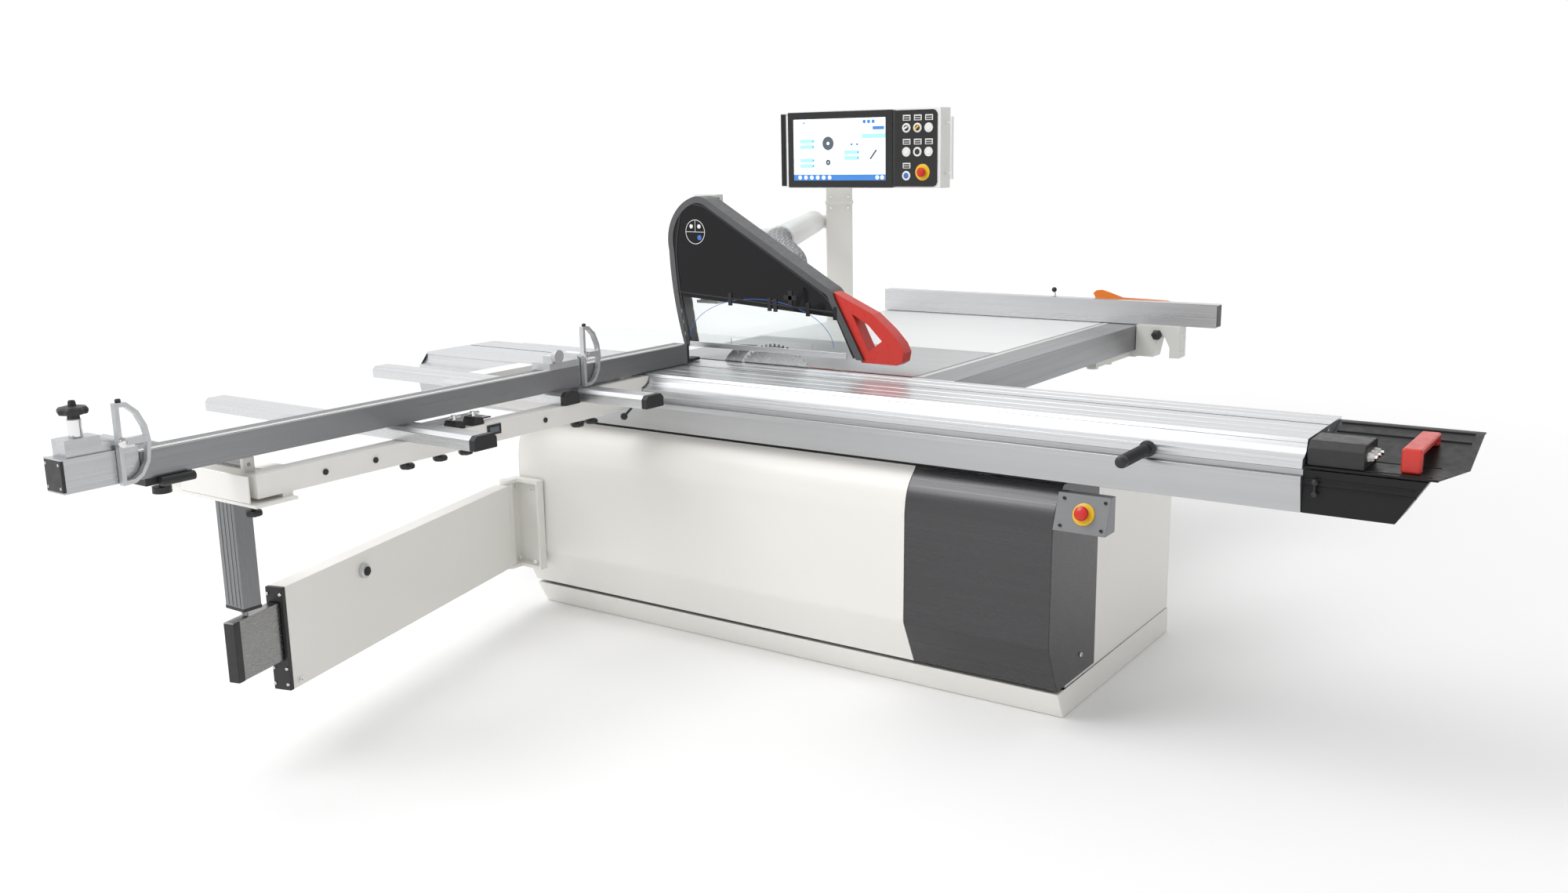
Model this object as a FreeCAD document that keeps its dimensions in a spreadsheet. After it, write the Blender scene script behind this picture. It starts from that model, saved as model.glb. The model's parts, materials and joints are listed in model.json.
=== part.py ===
import FreeCAD, Part
import math
import os
import Sketcher

# Sliding-table panel saw. Millimetres, +Z up. The origin is on the floor below the saw arbor:
# X runs along the sliding table towards the infeed end, Y from the crosscut side to the rip side.

Vector = FreeCAD.Vector
doc = FreeCAD.newDocument("PanelSaw")
sheet = doc.addObject("Spreadsheet::Sheet", "Sizes")
NODES = []


class Size:
    """A number that keeps the spreadsheet formula it came from."""

    def __init__(self, value, text):
        self.value = float(value)
        self.text = text

    def __float__(self):
        return self.value

    def __add__(self, other):
        return joined(self, "+", other)

    def __radd__(self, other):
        return joined(other, "+", self)

    def __sub__(self, other):
        return joined(self, "-", other)

    def __rsub__(self, other):
        return joined(other, "-", self)

    def __mul__(self, other):
        return joined(self, "*", other)

    def __rmul__(self, other):
        return joined(other, "*", self)

    def __truediv__(self, other):
        return joined(self, "/", other)

    def __neg__(self):
        return joined(0, "-", self)


def formula(size):
    return size.text if isinstance(size, Size) else f"{float(size):.6f}"


def joined(left, sign, right):
    first = float(left)
    second = float(right)
    values = {"+": first + second, "-": first - second, "*": first * second}
    value = first / second if sign == "/" else values[sign]
    return Size(value, f"({formula(left)} {sign} {formula(right)})")


class SizeTable:
    """Driving dimensions: each is one row of the spreadsheet, read as an attribute."""

    def __init__(self):
        self._row = 1

    def add(self, **sizes):
        for alias, value in sizes.items():
            sheet.set(f"A{self._row}", alias)
            sheet.set(f"B{self._row}", str(value))
            sheet.setAlias(f"B{self._row}", alias)
            setattr(self, alias, Size(value, f"Sizes.{alias}"))
            self._row += 1


S = SizeTable()
TURN = {
    "x": FreeCAD.Rotation(Vector(0, 1, 0), 90),
    "y": FreeCAD.Rotation(Vector(1, 0, 0), -90),
    "z": FreeCAD.Rotation(),
}
OTHERS = {"x": ("y", "z"), "y": ("x", "z"), "z": ("x", "y")}
PLANES = {"x": "YZ_Plane", "y": "XZ_Plane", "z": "XY_Plane"}


def bind(part, prop, size):
    part.setExpression(prop, formula(size))


def place(part, **where):
    for axis, size in where.items():
        bind(part, f"Placement.Base.{axis}", size)


def box(name, x, y, z):
    """A block between two sizes along each axis."""
    part = doc.addObject("Part::Box", name)
    for prop, span in (("Length", x), ("Width", y), ("Height", z)):
        bind(part, prop, span[1] - span[0])
    place(part, x=x[0], y=y[0], z=z[0])
    return part


def rod(name, radius, axis, centre, span):
    """A cylinder along an axis; centre gives the other two coordinates in X, Y, Z order."""
    part = doc.addObject("Part::Cylinder", name)
    bind(part, "Radius", radius)
    bind(part, "Height", span[1] - span[0])
    part.Placement = FreeCAD.Placement(Vector(), TURN[axis])
    first, second = OTHERS[axis]
    place(part, **{axis: span[0], first: centre[0], second: centre[1]})
    return part


def fuse(name, *parts):
    whole = doc.addObject("Part::MultiFuse", name)
    whole.Shapes = list(parts)
    return whole


def cut(name, base, *tools):
    tool = tools[0] if len(tools) == 1 else fuse(f"{name}_tools", *tools)
    whole = doc.addObject("Part::Cut", name)
    whole.Base = base
    whole.Tool = tool
    return whole


def group(name, *parts):
    """Separate solids kept together in one node."""
    whole = doc.addObject("Part::Compound", name)
    whole.Links = list(parts)
    return whole


def prism(name, axis, outline, span):
    """A padded sketch: outline points in the plane across the axis, each bound to the sheet."""
    body = doc.addObject("PartDesign::Body", name)
    sketch = body.newObject("Sketcher::SketchObject", f"{name}_sketch")
    plane = [item for item in body.Origin.OriginFeatures if item.Role == PLANES[axis]][0]
    sketch.AttachmentSupport = [(plane, "")]
    sketch.MapMode = "FlatFace"
    corners = [Vector(float(u), float(v), 0) for u, v in outline]
    count = len(corners)
    lines = [Part.LineSegment(corners[i], corners[(i + 1) % count]) for i in range(count)]
    sketch.addGeometry(lines, False)
    ties = [Sketcher.Constraint("Coincident", i, 2, (i + 1) % count, 1) for i in range(count)]
    sketch.addConstraint(ties)
    for i, (u, v) in enumerate(outline):
        across = sketch.addConstraint(Sketcher.Constraint("DistanceX", -1, 1, i, 1, float(u)))
        upward = sketch.addConstraint(Sketcher.Constraint("DistanceY", -1, 1, i, 1, float(v)))
        sketch.setExpression(f"Constraints[{across}]", formula(u))
        sketch.setExpression(f"Constraints[{upward}]", formula(v))
    pad = body.newObject("PartDesign::Pad", f"{name}_pad")
    pad.Profile = sketch
    bind(pad, "Length", span[1] - span[0])
    body.Tip = pad
    place(body, **{axis: span[1] if axis == "y" else span[0]})
    return body


def feature(name, shape):
    part = doc.addObject("Part::Feature", name)
    part.Shape = shape
    return part


def turned(part, base, axis, angle):
    """Turn a finished part about a vertical or level line through base."""
    frame = doc.addObject("Part::Compound", f"{part.Name}_turned")
    frame.Links = [part]
    frame.Placement = FreeCAD.Placement(Vector(), FreeCAD.Rotation(axis, float(angle)), base)
    return frame


def node(name, part):
    part.Label = name
    NODES.append(part)
    return part


def ring_sector(name, inner, outer, start, sweep, centre, span):
    """Part of a ring about a line along X; angles run from straight down towards +Y."""
    pieces = []
    for size, tag in ((outer, "outer"), (inner, "inner")):
        part = doc.addObject("Part::Cylinder", f"{name}_{tag}")
        bind(part, "Radius", size)
        bind(part, "Height", span[1] - span[0])
        bind(part, "Angle", sweep)
        down = math.radians(float(start))
        first = Vector(0, math.sin(down), -math.cos(down))
        along = Vector(1, 0, 0)
        turn = FreeCAD.Rotation(first, along.cross(first), along, "ZXY")
        part.Placement = FreeCAD.Placement(Vector(), turn)
        place(part, x=span[0], y=centre[0], z=centre[1])
        pieces.append(part)
    return cut(name, *pieces)


# ---------------------------------------------------------------- shared levels and clearances
S.add(table_top=900, seat_gap=0.3, running_gap=0.05, sheet_wall=4)
S.add(blade_radius=175, blade_plate=3.2, blade_rise=73, blade_bore=15)
S.add(carriage_near=1850, carriage_length=3200, carriage_depth=68, carriage_inner=14)
S.add(flat_outer=354, lip_outer=399, beam_inner=236, beam_top=806, beam_bottom=719)
S.add(cabinet_left=-832, cabinet_right=1204, cabinet_front=-290, cabinet_back=560)
S.add(plinth_height=85, cabinet_top=760, cradle_top=850, cabinet_wall=5)
arbor_z = S.table_top + S.blade_rise - S.blade_radius
carriage_far = S.carriage_near - S.carriage_length
carriage_base = S.table_top - S.carriage_depth


# ---------------------------------------------------------------- base
def build_plinth():
    S.add(plinth_left=-836, plinth_right=1209, toe_front=-310, plinth_front=-355, pan_floor=6)
    outline = [
        (S.toe_front, 0), (S.cabinet_back, 0),
        (S.cabinet_back, S.plinth_height), (S.plinth_front, S.plinth_height),
    ]
    pan = prism("plinth_block", "x", outline, (S.plinth_left, S.plinth_right))
    wall = S.pan_floor
    hollow = box(
        "plinth_hollow",
        (S.plinth_left + wall, S.plinth_right - wall),
        (S.toe_front + wall, S.cabinet_back - wall),
        (S.pan_floor, S.plinth_height + 1),
    )
    node("plinth", cut("plinth_pan", pan, hollow))


def build_base_frame():
    S.add(bulkhead=330, bulkhead_wall=10, post_width=40, beam_pad=19, pad_front=-340, pad_back=-240)
    S.add(post_left=-700, post_right=940, cradle_wall=20, table_left=-490, table_right=533)
    S.add(table_back=605, cradle_front=60, beam_clear=6)
    wall = S.cabinet_wall
    outer = box(
        "cabinet_outer", (S.cabinet_left, S.cabinet_right),
        (S.cabinet_front, S.cabinet_back), (S.plinth_height, S.cabinet_top),
    )
    inner = box(
        "cabinet_inner", (S.cabinet_left + wall, S.cabinet_right - wall),
        (S.cabinet_front - 1, S.cabinet_back - wall),
        (S.plinth_height + wall, S.cabinet_top + 1),
    )
    beam_room = box(
        "beam_room", (S.cabinet_left - 1, S.cabinet_right + 1),
        (S.cabinet_front - 1, S.beam_clear - S.beam_inner), (S.beam_bottom, S.cabinet_top + 1),
    )
    pieces = [cut("cabinet_shell", outer, inner, beam_room)]
    for side, tag in ((-1, "left"), (1, "right")):
        near = side * S.bulkhead
        span = (near - S.bulkhead_wall, near) if side < 0 else (near, near + S.bulkhead_wall)
        pieces.append(box(
            f"bulkhead_{tag}", span, (S.cabinet_front + S.post_width, S.cabinet_back - wall),
            (S.plinth_height + wall, S.beam_bottom),
        ))
    for start, tag in ((S.post_left, "left"), (S.post_right, "right")):
        across = (start, start + S.post_width)
        pieces.append(box(
            f"post_{tag}", across, (S.cabinet_front, S.cabinet_front + S.post_width),
            (S.plinth_height + wall, S.beam_bottom),
        ))
        pieces.append(box(
            f"beam_pad_{tag}", across, (S.pad_front, S.pad_back),
            (S.beam_bottom - S.beam_pad, S.beam_bottom),
        ))
    thick = S.cradle_wall
    rise = (S.cabinet_top - S.post_width, S.cradle_top)
    for start, tag in ((S.table_left, "left"), (S.table_right - thick, "right")):
        pieces.append(box(
            f"cradle_{tag}", (start, start + thick), (S.cradle_front, S.cabinet_back), rise,
        ))
    pieces.append(box(
        "cradle_back", (S.table_left, S.table_right),
        (S.cabinet_back - thick, S.cabinet_back), rise,
    ))
    frame = fuse("welded_cabinet", *pieces)
    S.add(track_inner=440, track_outer=465, track_start=-43, track_sweep=77, track_width=32)
    tracks = []
    for side, tag in ((-1, "left"), (1, "right")):
        near = side * S.bulkhead
        span = (near, near + S.track_width) if side < 0 else (near - S.track_width, near)
        tracks.append(ring_sector(
            f"tilt_track_{tag}", S.track_inner, S.track_outer, S.track_start, S.track_sweep,
            (0, S.table_top), span,
        ))
    node("base_frame", group("frame_and_tracks", frame, *tracks))


S.add(cover_top=702, cover_top_y=-348, bulge_y=-416, bulge_z=575, shoulder_y=-405, shoulder_z=640)
S.add(belly_y=-422, belly_z=237, hem_y=-356, hem_z=96, cover_split=742, cover_joint=1)
COVER_LINE = [
    (S.cover_top_y, S.cover_top), (S.shoulder_y, S.shoulder_z), (S.bulge_y, S.bulge_z),
    (S.belly_y, S.belly_z), (S.hem_y, S.hem_z),
]


def cover_shell(name, span, end_span, back):
    """Folded sheet along X with one closed end plate that laps the cabinet side."""
    inner = [(y + S.sheet_wall, z) for y, z in reversed(COVER_LINE)]
    sheet_part = prism(f"{name}_sheet", "x", COVER_LINE + inner, span)
    lid = [(back, S.cover_top)] + COVER_LINE + [(back, S.hem_z)]
    end = prism(f"{name}_end", "x", lid, end_span)
    return fuse(f"{name}_whole", sheet_part, end)


def build_covers():
    S.add(lap_back=-250, motor_lap=-85)
    left = S.cabinet_left - S.sheet_wall
    right = S.cabinet_right + S.sheet_wall
    node("front_cover", cover_shell(
        "front", (left, S.cover_split), (left, S.cabinet_left), S.lap_back,
    ))
    node("motor_cover", cover_shell(
        "motor", (S.cover_split + S.cover_joint, right), (S.cabinet_right, right), S.motor_lap,
    ))


def build_guide_beam():
    S.add(beam_foot=-388, beam_shoulder=-406, shoulder_level=798, groove_level=814)
    S.add(beam_lip=-386, lip_level=829, lip_inner=-374, beam_wall=10, rail_near=-340)
    S.add(rail_far=-270, rail_width=14, rail_rise=8)
    outline = [
        (S.beam_foot, S.beam_bottom), (S.beam_shoulder, S.shoulder_level),
        (S.beam_shoulder, S.groove_level), (S.beam_lip, S.groove_level),
        (S.beam_lip, S.lip_level), (S.lip_inner, S.lip_level), (S.lip_inner, S.beam_top),
        (-S.beam_inner, S.beam_top), (-S.beam_inner, S.beam_bottom),
    ]
    span = (carriage_far, S.carriage_near)
    solid = prism("beam_solid", "x", outline, span)
    hollow = box(
        "beam_hollow", (carriage_far - 1, S.carriage_near + 1),
        (S.beam_foot + S.beam_wall, -S.beam_inner - S.beam_wall),
        (S.beam_bottom + S.beam_wall, S.beam_top - S.beam_wall),
    )
    rails = [
        box(f"rail_{tag}", span, (y - S.rail_width / 2, y + S.rail_width / 2),
            (S.beam_top, S.beam_top + S.rail_rise))
        for y, tag in ((S.rail_near, "near"), (S.rail_far, "far"))
    ]
    node("guide_beam", fuse("beam_and_rails", cut("beam_tube", solid, hollow), *rails))
    S.add(end_cover_tip=2135, end_cover_foot=2068, cover_skin=3)
    side = [
        (S.carriage_near, S.beam_bottom), (S.end_cover_foot, S.beam_bottom),
        (S.end_cover_tip, S.lip_level), (S.carriage_near, S.lip_level),
    ]
    block = prism("end_cover_block", "y", side, (S.beam_lip, -S.beam_inner))
    hollow = [
        (S.carriage_near - 1, S.beam_bottom + S.cover_skin),
        (S.end_cover_foot - 2 * S.cover_skin, S.beam_bottom + S.cover_skin),
        (S.end_cover_tip - 3 * S.cover_skin, S.lip_level - S.cover_skin),
        (S.carriage_near - 1, S.lip_level - S.cover_skin),
    ]
    inside = prism(
        "end_cover_inside", "y", hollow,
        (S.beam_lip + S.cover_skin, -S.beam_inner - S.cover_skin),
    )
    node("beam_end_cover", cut("end_cover_shell", block, inside))


def build_tables():
    S.add(table_edge=5, plate=15, rim=15, rib_y=300, board=32, board_gap=1, rip_back=1640)
    S.add(rip_left=-500, outfeed_left=-1211, outfeed_right=-492, outfeed_back=545)
    top = (S.table_top - S.plate, S.table_top)
    ribs = (S.cradle_top, S.table_top - S.plate)
    across = (S.table_left, S.table_right)
    parts = [
        box("table_plate", across, (S.table_edge, S.table_back), top),
        box("table_rim_left", (S.table_left, S.table_left + S.rim),
            (S.cradle_front, S.table_back), ribs),
        box("table_rim_right", (S.table_right - S.rim, S.table_right),
            (S.cradle_front, S.table_back), ribs),
        box("table_rim_back", across, (S.table_back - S.rim, S.table_back), ribs),
        box("table_rib", across, (S.rib_y, S.rib_y + S.rim), ribs),
    ]
    node("main_table", fuse("cast_table", *parts))
    boards = (S.table_top - S.board, S.table_top)
    node("extension_table", box(
        "rip_board", (S.rip_left, S.table_right),
        (S.table_back + S.board_gap, S.rip_back), boards,
    ))
    node("outfeed_table", box(
        "outfeed_board", (S.outfeed_left, S.outfeed_right),
        (S.table_edge, S.outfeed_back), boards,
    ))


S.add(column_x=-785, column_y=1649, column_side=120, column_turn=35)


def column_block(name, side, levels):
    half = side / 2
    block = box(
        name, (S.column_x - half, S.column_x + half),
        (S.column_y - half, S.column_y + half), levels,
    )
    axis_point = Vector(float(S.column_x), float(S.column_y), 0)
    return turned(block, axis_point, Vector(0, 0, 1), float(S.column_turn))


def build_supports():
    S.add(arm_width=80, arm_left=-420, arm_right=360, arm_drop=80, outfeed_drop=68)
    S.add(support_x=600, support_width=75, support_foot=500, support_back=650, rail_base=800)
    S.add(support_head=750, riser_x=540)
    S.add(outfeed_arm_front=100, outfeed_arm_back=400, outfeed_arm_width=60)
    S.add(outfeed_arm_left=-1180, outfeed_arm_right=-505, outfeed_post=40, tie_depth=40)
    under = S.table_top - S.board
    levels = (under - S.arm_drop, under)
    step = S.table_back + S.board_gap
    profile = [
        (S.cabinet_back, levels[0]), (S.rip_back, levels[0]), (S.rip_back, under),
        (step, under), (step, S.cradle_top), (S.cabinet_back, S.cradle_top),
    ]
    parts = [
        prism(f"cantilever_{tag}", "x", profile, (x, x + S.arm_width))
        for x, tag in ((S.arm_left, "left"), (S.arm_right, "right"))
    ]
    tie = box(
        "column_tie", (S.column_x, S.arm_left),
        (S.rip_back - S.tie_depth, S.rip_back), levels,
    )
    shaft = column_block("tie_clearance", S.column_side, (0, S.table_top))
    left_arm = fuse("left_arm_and_tie", parts[0], cut("tie_to_column", tie, shaft))
    depth = (S.cabinet_back, S.support_back)
    rail_leg = fuse(
        "rail_support",
        box("rail_support_box", (S.support_x, S.support_x + S.support_width), depth,
            (S.support_foot, S.support_head)),
        box("rail_support_riser", (S.riser_x, S.support_x + 4), depth,
            (S.support_head - 50, S.rail_base)),
    )
    arms = []
    for y, tag in ((S.outfeed_arm_front, "front"), (S.outfeed_arm_back, "back")):
        depth = (y, y + S.outfeed_arm_width)
        beam = box(
            f"outfeed_arm_{tag}", (S.outfeed_arm_left, S.outfeed_arm_right), depth,
            (under - S.outfeed_drop, under),
        )
        foot = box(
            f"outfeed_post_{tag}", (S.cabinet_left, S.cabinet_left + S.outfeed_post), depth,
            (S.cabinet_top, under - S.outfeed_drop),
        )
        arms.append(fuse(f"outfeed_bracket_{tag}", beam, foot))
    node("table_supports", group("supports", left_arm, parts[1], rail_leg, *arms))
    S.add(rail_gap=1, rail_right=690, rail_front=-6, rail_skin=5)
    left = S.table_right + S.rail_gap
    outer = box(
        "rail_outer", (left, S.rail_right), (S.rail_front, S.rip_back),
        (S.rail_base, S.table_top),
    )
    inner = box(
        "rail_inner", (left + S.rail_skin, S.rail_right - S.rail_skin),
        (S.rail_front - 1, S.rip_back + 1),
        (S.rail_base + S.rail_skin, S.table_top - S.rail_skin),
    )
    node("rail_bar", cut("rail_tube", outer, inner))


def build_column():
    S.add(column_top=1640, foot_plate=12, foot_side=260, collar_level=1379, collar_height=7)
    S.add(collar_lip=4, swivel_x=-560, swivel_y=1468, swivel_low=1560, swivel_high=1640)
    S.add(lug_height=14, lug_radius=26, swivel_pin=8, head_arm=60)
    shaft = column_block("column_shaft", S.column_side, (S.foot_plate, S.column_top))
    foot = column_block("column_foot", S.foot_side, (0, S.foot_plate))
    collar = column_block(
        "column_collar", S.column_side + 2 * S.collar_lip,
        (S.collar_level - S.collar_height, S.collar_level + S.collar_height),
    )
    reach = math.hypot(
        float(S.swivel_x) - float(S.column_x), float(S.swivel_y) - float(S.column_y),
    )
    heading = math.degrees(math.atan2(
        float(S.swivel_y) - float(S.column_y), float(S.swivel_x) - float(S.column_x),
    ))
    spine = feature("console_spine", Part.makeBox(
        reach - 2 * float(S.lug_radius), float(S.head_arm), float(S.swivel_high - S.swivel_low),
        Vector(0, -float(S.head_arm) / 2, 0),
    ))
    spine.Placement = FreeCAD.Placement(
        Vector(float(S.column_x), float(S.column_y), float(S.swivel_low)),
        FreeCAD.Rotation(Vector(0, 0, 1), heading),
    )
    lugs = []
    for low, tag in ((S.swivel_low, "low"), (S.swivel_high - S.lug_height, "high")):
        levels = (low, low + S.lug_height)
        lugs.append(rod(f"lug_{tag}", S.lug_radius, "z", (S.swivel_x, S.swivel_y), levels))
        arm = feature(f"lug_arm_{tag}", Part.makeBox(
            reach - float(S.lug_radius), float(S.lug_radius) * 2, float(S.lug_height),
            Vector(float(S.lug_radius), -float(S.lug_radius), 0),
        ))
        arm.Placement = FreeCAD.Placement(
            Vector(float(S.column_x), float(S.column_y), float(low)),
            FreeCAD.Rotation(Vector(0, 0, 1), heading),
        )
        lugs.append(arm)
    pin = rod(
        "swivel_pin_rod", S.swivel_pin, "z", (S.swivel_x, S.swivel_y),
        (S.swivel_low, S.swivel_high),
    )
    node("column", fuse("column_whole", shaft, foot, collar, spine, *lugs, pin))


S.add(hose_radius=46, hose_gap=3, beam_setback=150)
S.add(duct_level=1290, duct_radius=52, elbow_x=-300, elbow_y=470, carrier_x=-330)
S.add(guide_y=68, carrier_low=1090, carrier_high=1470, guide_radius=10, guide_pitch=56)


def tube_between(name, start, end, radius):
    """A round bar between two points."""
    along = end - start
    return feature(name, Part.makeCylinder(float(radius), along.Length, start, along))


def build_duct():
    S.add(duct_offset=118, carrier_plate=20, carrier_y=80, carrier_half=46, beam_radius=42)
    turn = math.radians(float(S.column_turn))
    level = float(S.duct_level)
    side = Vector(-math.cos(turn), -math.sin(turn), 0)
    column_axis = Vector(float(S.column_x), float(S.column_y), level)
    start = column_axis + side * float(S.duct_offset)
    elbow = Vector(float(S.elbow_x), float(S.elbow_y), level)
    pipe = tube_between("duct_pipe", start, elbow, S.duct_radius)
    saddle = tube_between(
        "duct_saddle", column_axis + side * (float(S.column_side) / 2),
        start, S.duct_radius * 0.6,
    )
    carrier_face = Vector(float(S.carrier_x), float(S.carrier_y + S.carrier_plate / 2), level)
    way = (elbow - start).normalize()
    joint = elbow - way * float(S.beam_setback)
    beam = tube_between("guard_beam", joint, carrier_face, S.beam_radius)
    room = tube_between("hose_room", elbow, elbow + way * float(S.beam_setback),
                        S.hose_radius + S.hose_gap)
    trimmed = cut("beam_beside_hose", beam, room)
    half = S.carrier_half
    across = (S.carrier_x - half, S.carrier_x + half)
    plate = box(
        "carrier_back", across, (S.carrier_y, S.carrier_y + S.carrier_plate),
        (S.carrier_low, S.carrier_high),
    )
    lug = S.guide_radius + 4
    ends = [
        box(f"carrier_lug_{tag}", across, (S.guide_y - lug, S.carrier_y), (low, low + 10))
        for low, tag in ((S.carrier_low, "low"), (S.carrier_high - 10, "high"))
    ]
    rods = [
        rod(f"guard_guide_{tag}", S.guide_radius, "z",
            (S.carrier_x + side_sign * S.guide_pitch / 2, S.guide_y),
            (S.carrier_low, S.carrier_high))
        for side_sign, tag in ((-1, "left"), (1, "right"))
    ]
    node("duct_arm", fuse("duct_whole", pipe, saddle, trimmed, plate, *ends, *rods))


def build_estop_panel():
    S.add(panel_right=1360, panel_low_y=-420, panel_low_z=590, panel_high_y=-382)
    S.add(panel_high_z=690, panel_wall=3, panel_flange=30)
    thick = S.panel_wall
    outline = [
        (S.panel_low_y, S.panel_low_z), (S.panel_high_y, S.panel_high_z),
        (S.panel_high_y + S.panel_flange, S.panel_high_z),
        (S.panel_high_y + S.panel_flange, S.panel_high_z - thick),
        (S.panel_high_y + thick, S.panel_high_z - thick),
        (S.panel_low_y + thick, S.panel_low_z + thick),
        (S.panel_high_y + S.panel_flange, S.panel_low_z + thick),
        (S.panel_high_y + S.panel_flange, S.panel_low_z),
    ]
    left = S.cabinet_right + S.sheet_wall
    fold = prism("panel_fold", "x", outline, (left, S.panel_right))
    lid = [
        (S.panel_low_y, S.panel_low_z), (S.panel_high_y, S.panel_high_z),
        (S.panel_high_y + S.panel_flange, S.panel_high_z),
        (S.panel_high_y + S.panel_flange, S.panel_low_z),
    ]
    ends = [
        prism(f"panel_end_{tag}", "x", lid, (x, x + thick))
        for x, tag in ((left, "left"), (S.panel_right - thick, "right"))
    ]
    tilt = math.degrees(math.atan2(
        float(S.panel_high_y - S.panel_low_y), float(S.panel_high_z - S.panel_low_z),
    ))
    S.add(estop_stem=11, estop_cap=20, estop_stand=14, estop_depth=16, estop_x=1290)
    centre = Vector(
        float(S.estop_x), float((S.panel_low_y + S.panel_high_y) / 2),
        float((S.panel_low_z + S.panel_high_z) / 2),
    )
    outward = Vector(0, -math.cos(math.radians(tilt)), math.sin(math.radians(tilt)))
    bore = Part.makeCylinder(
        float(S.estop_stem + S.seat_gap), 40, centre - outward * 20, outward,
    )
    node("estop_panel", cut(
        "panel_with_bore", fuse("panel_whole", fold, *ends), feature("panel_bore", bore),
    ))
    stem = Part.makeCylinder(
        float(S.estop_stem), 10 + float(S.estop_stand), centre - outward * 10, outward,
    )
    cap = Part.makeCylinder(
        float(S.estop_cap), float(S.estop_depth), centre + outward * float(S.estop_stand),
        outward,
    )
    node("base_estop", feature("base_estop_button", stem.fuse(cap)))


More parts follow.
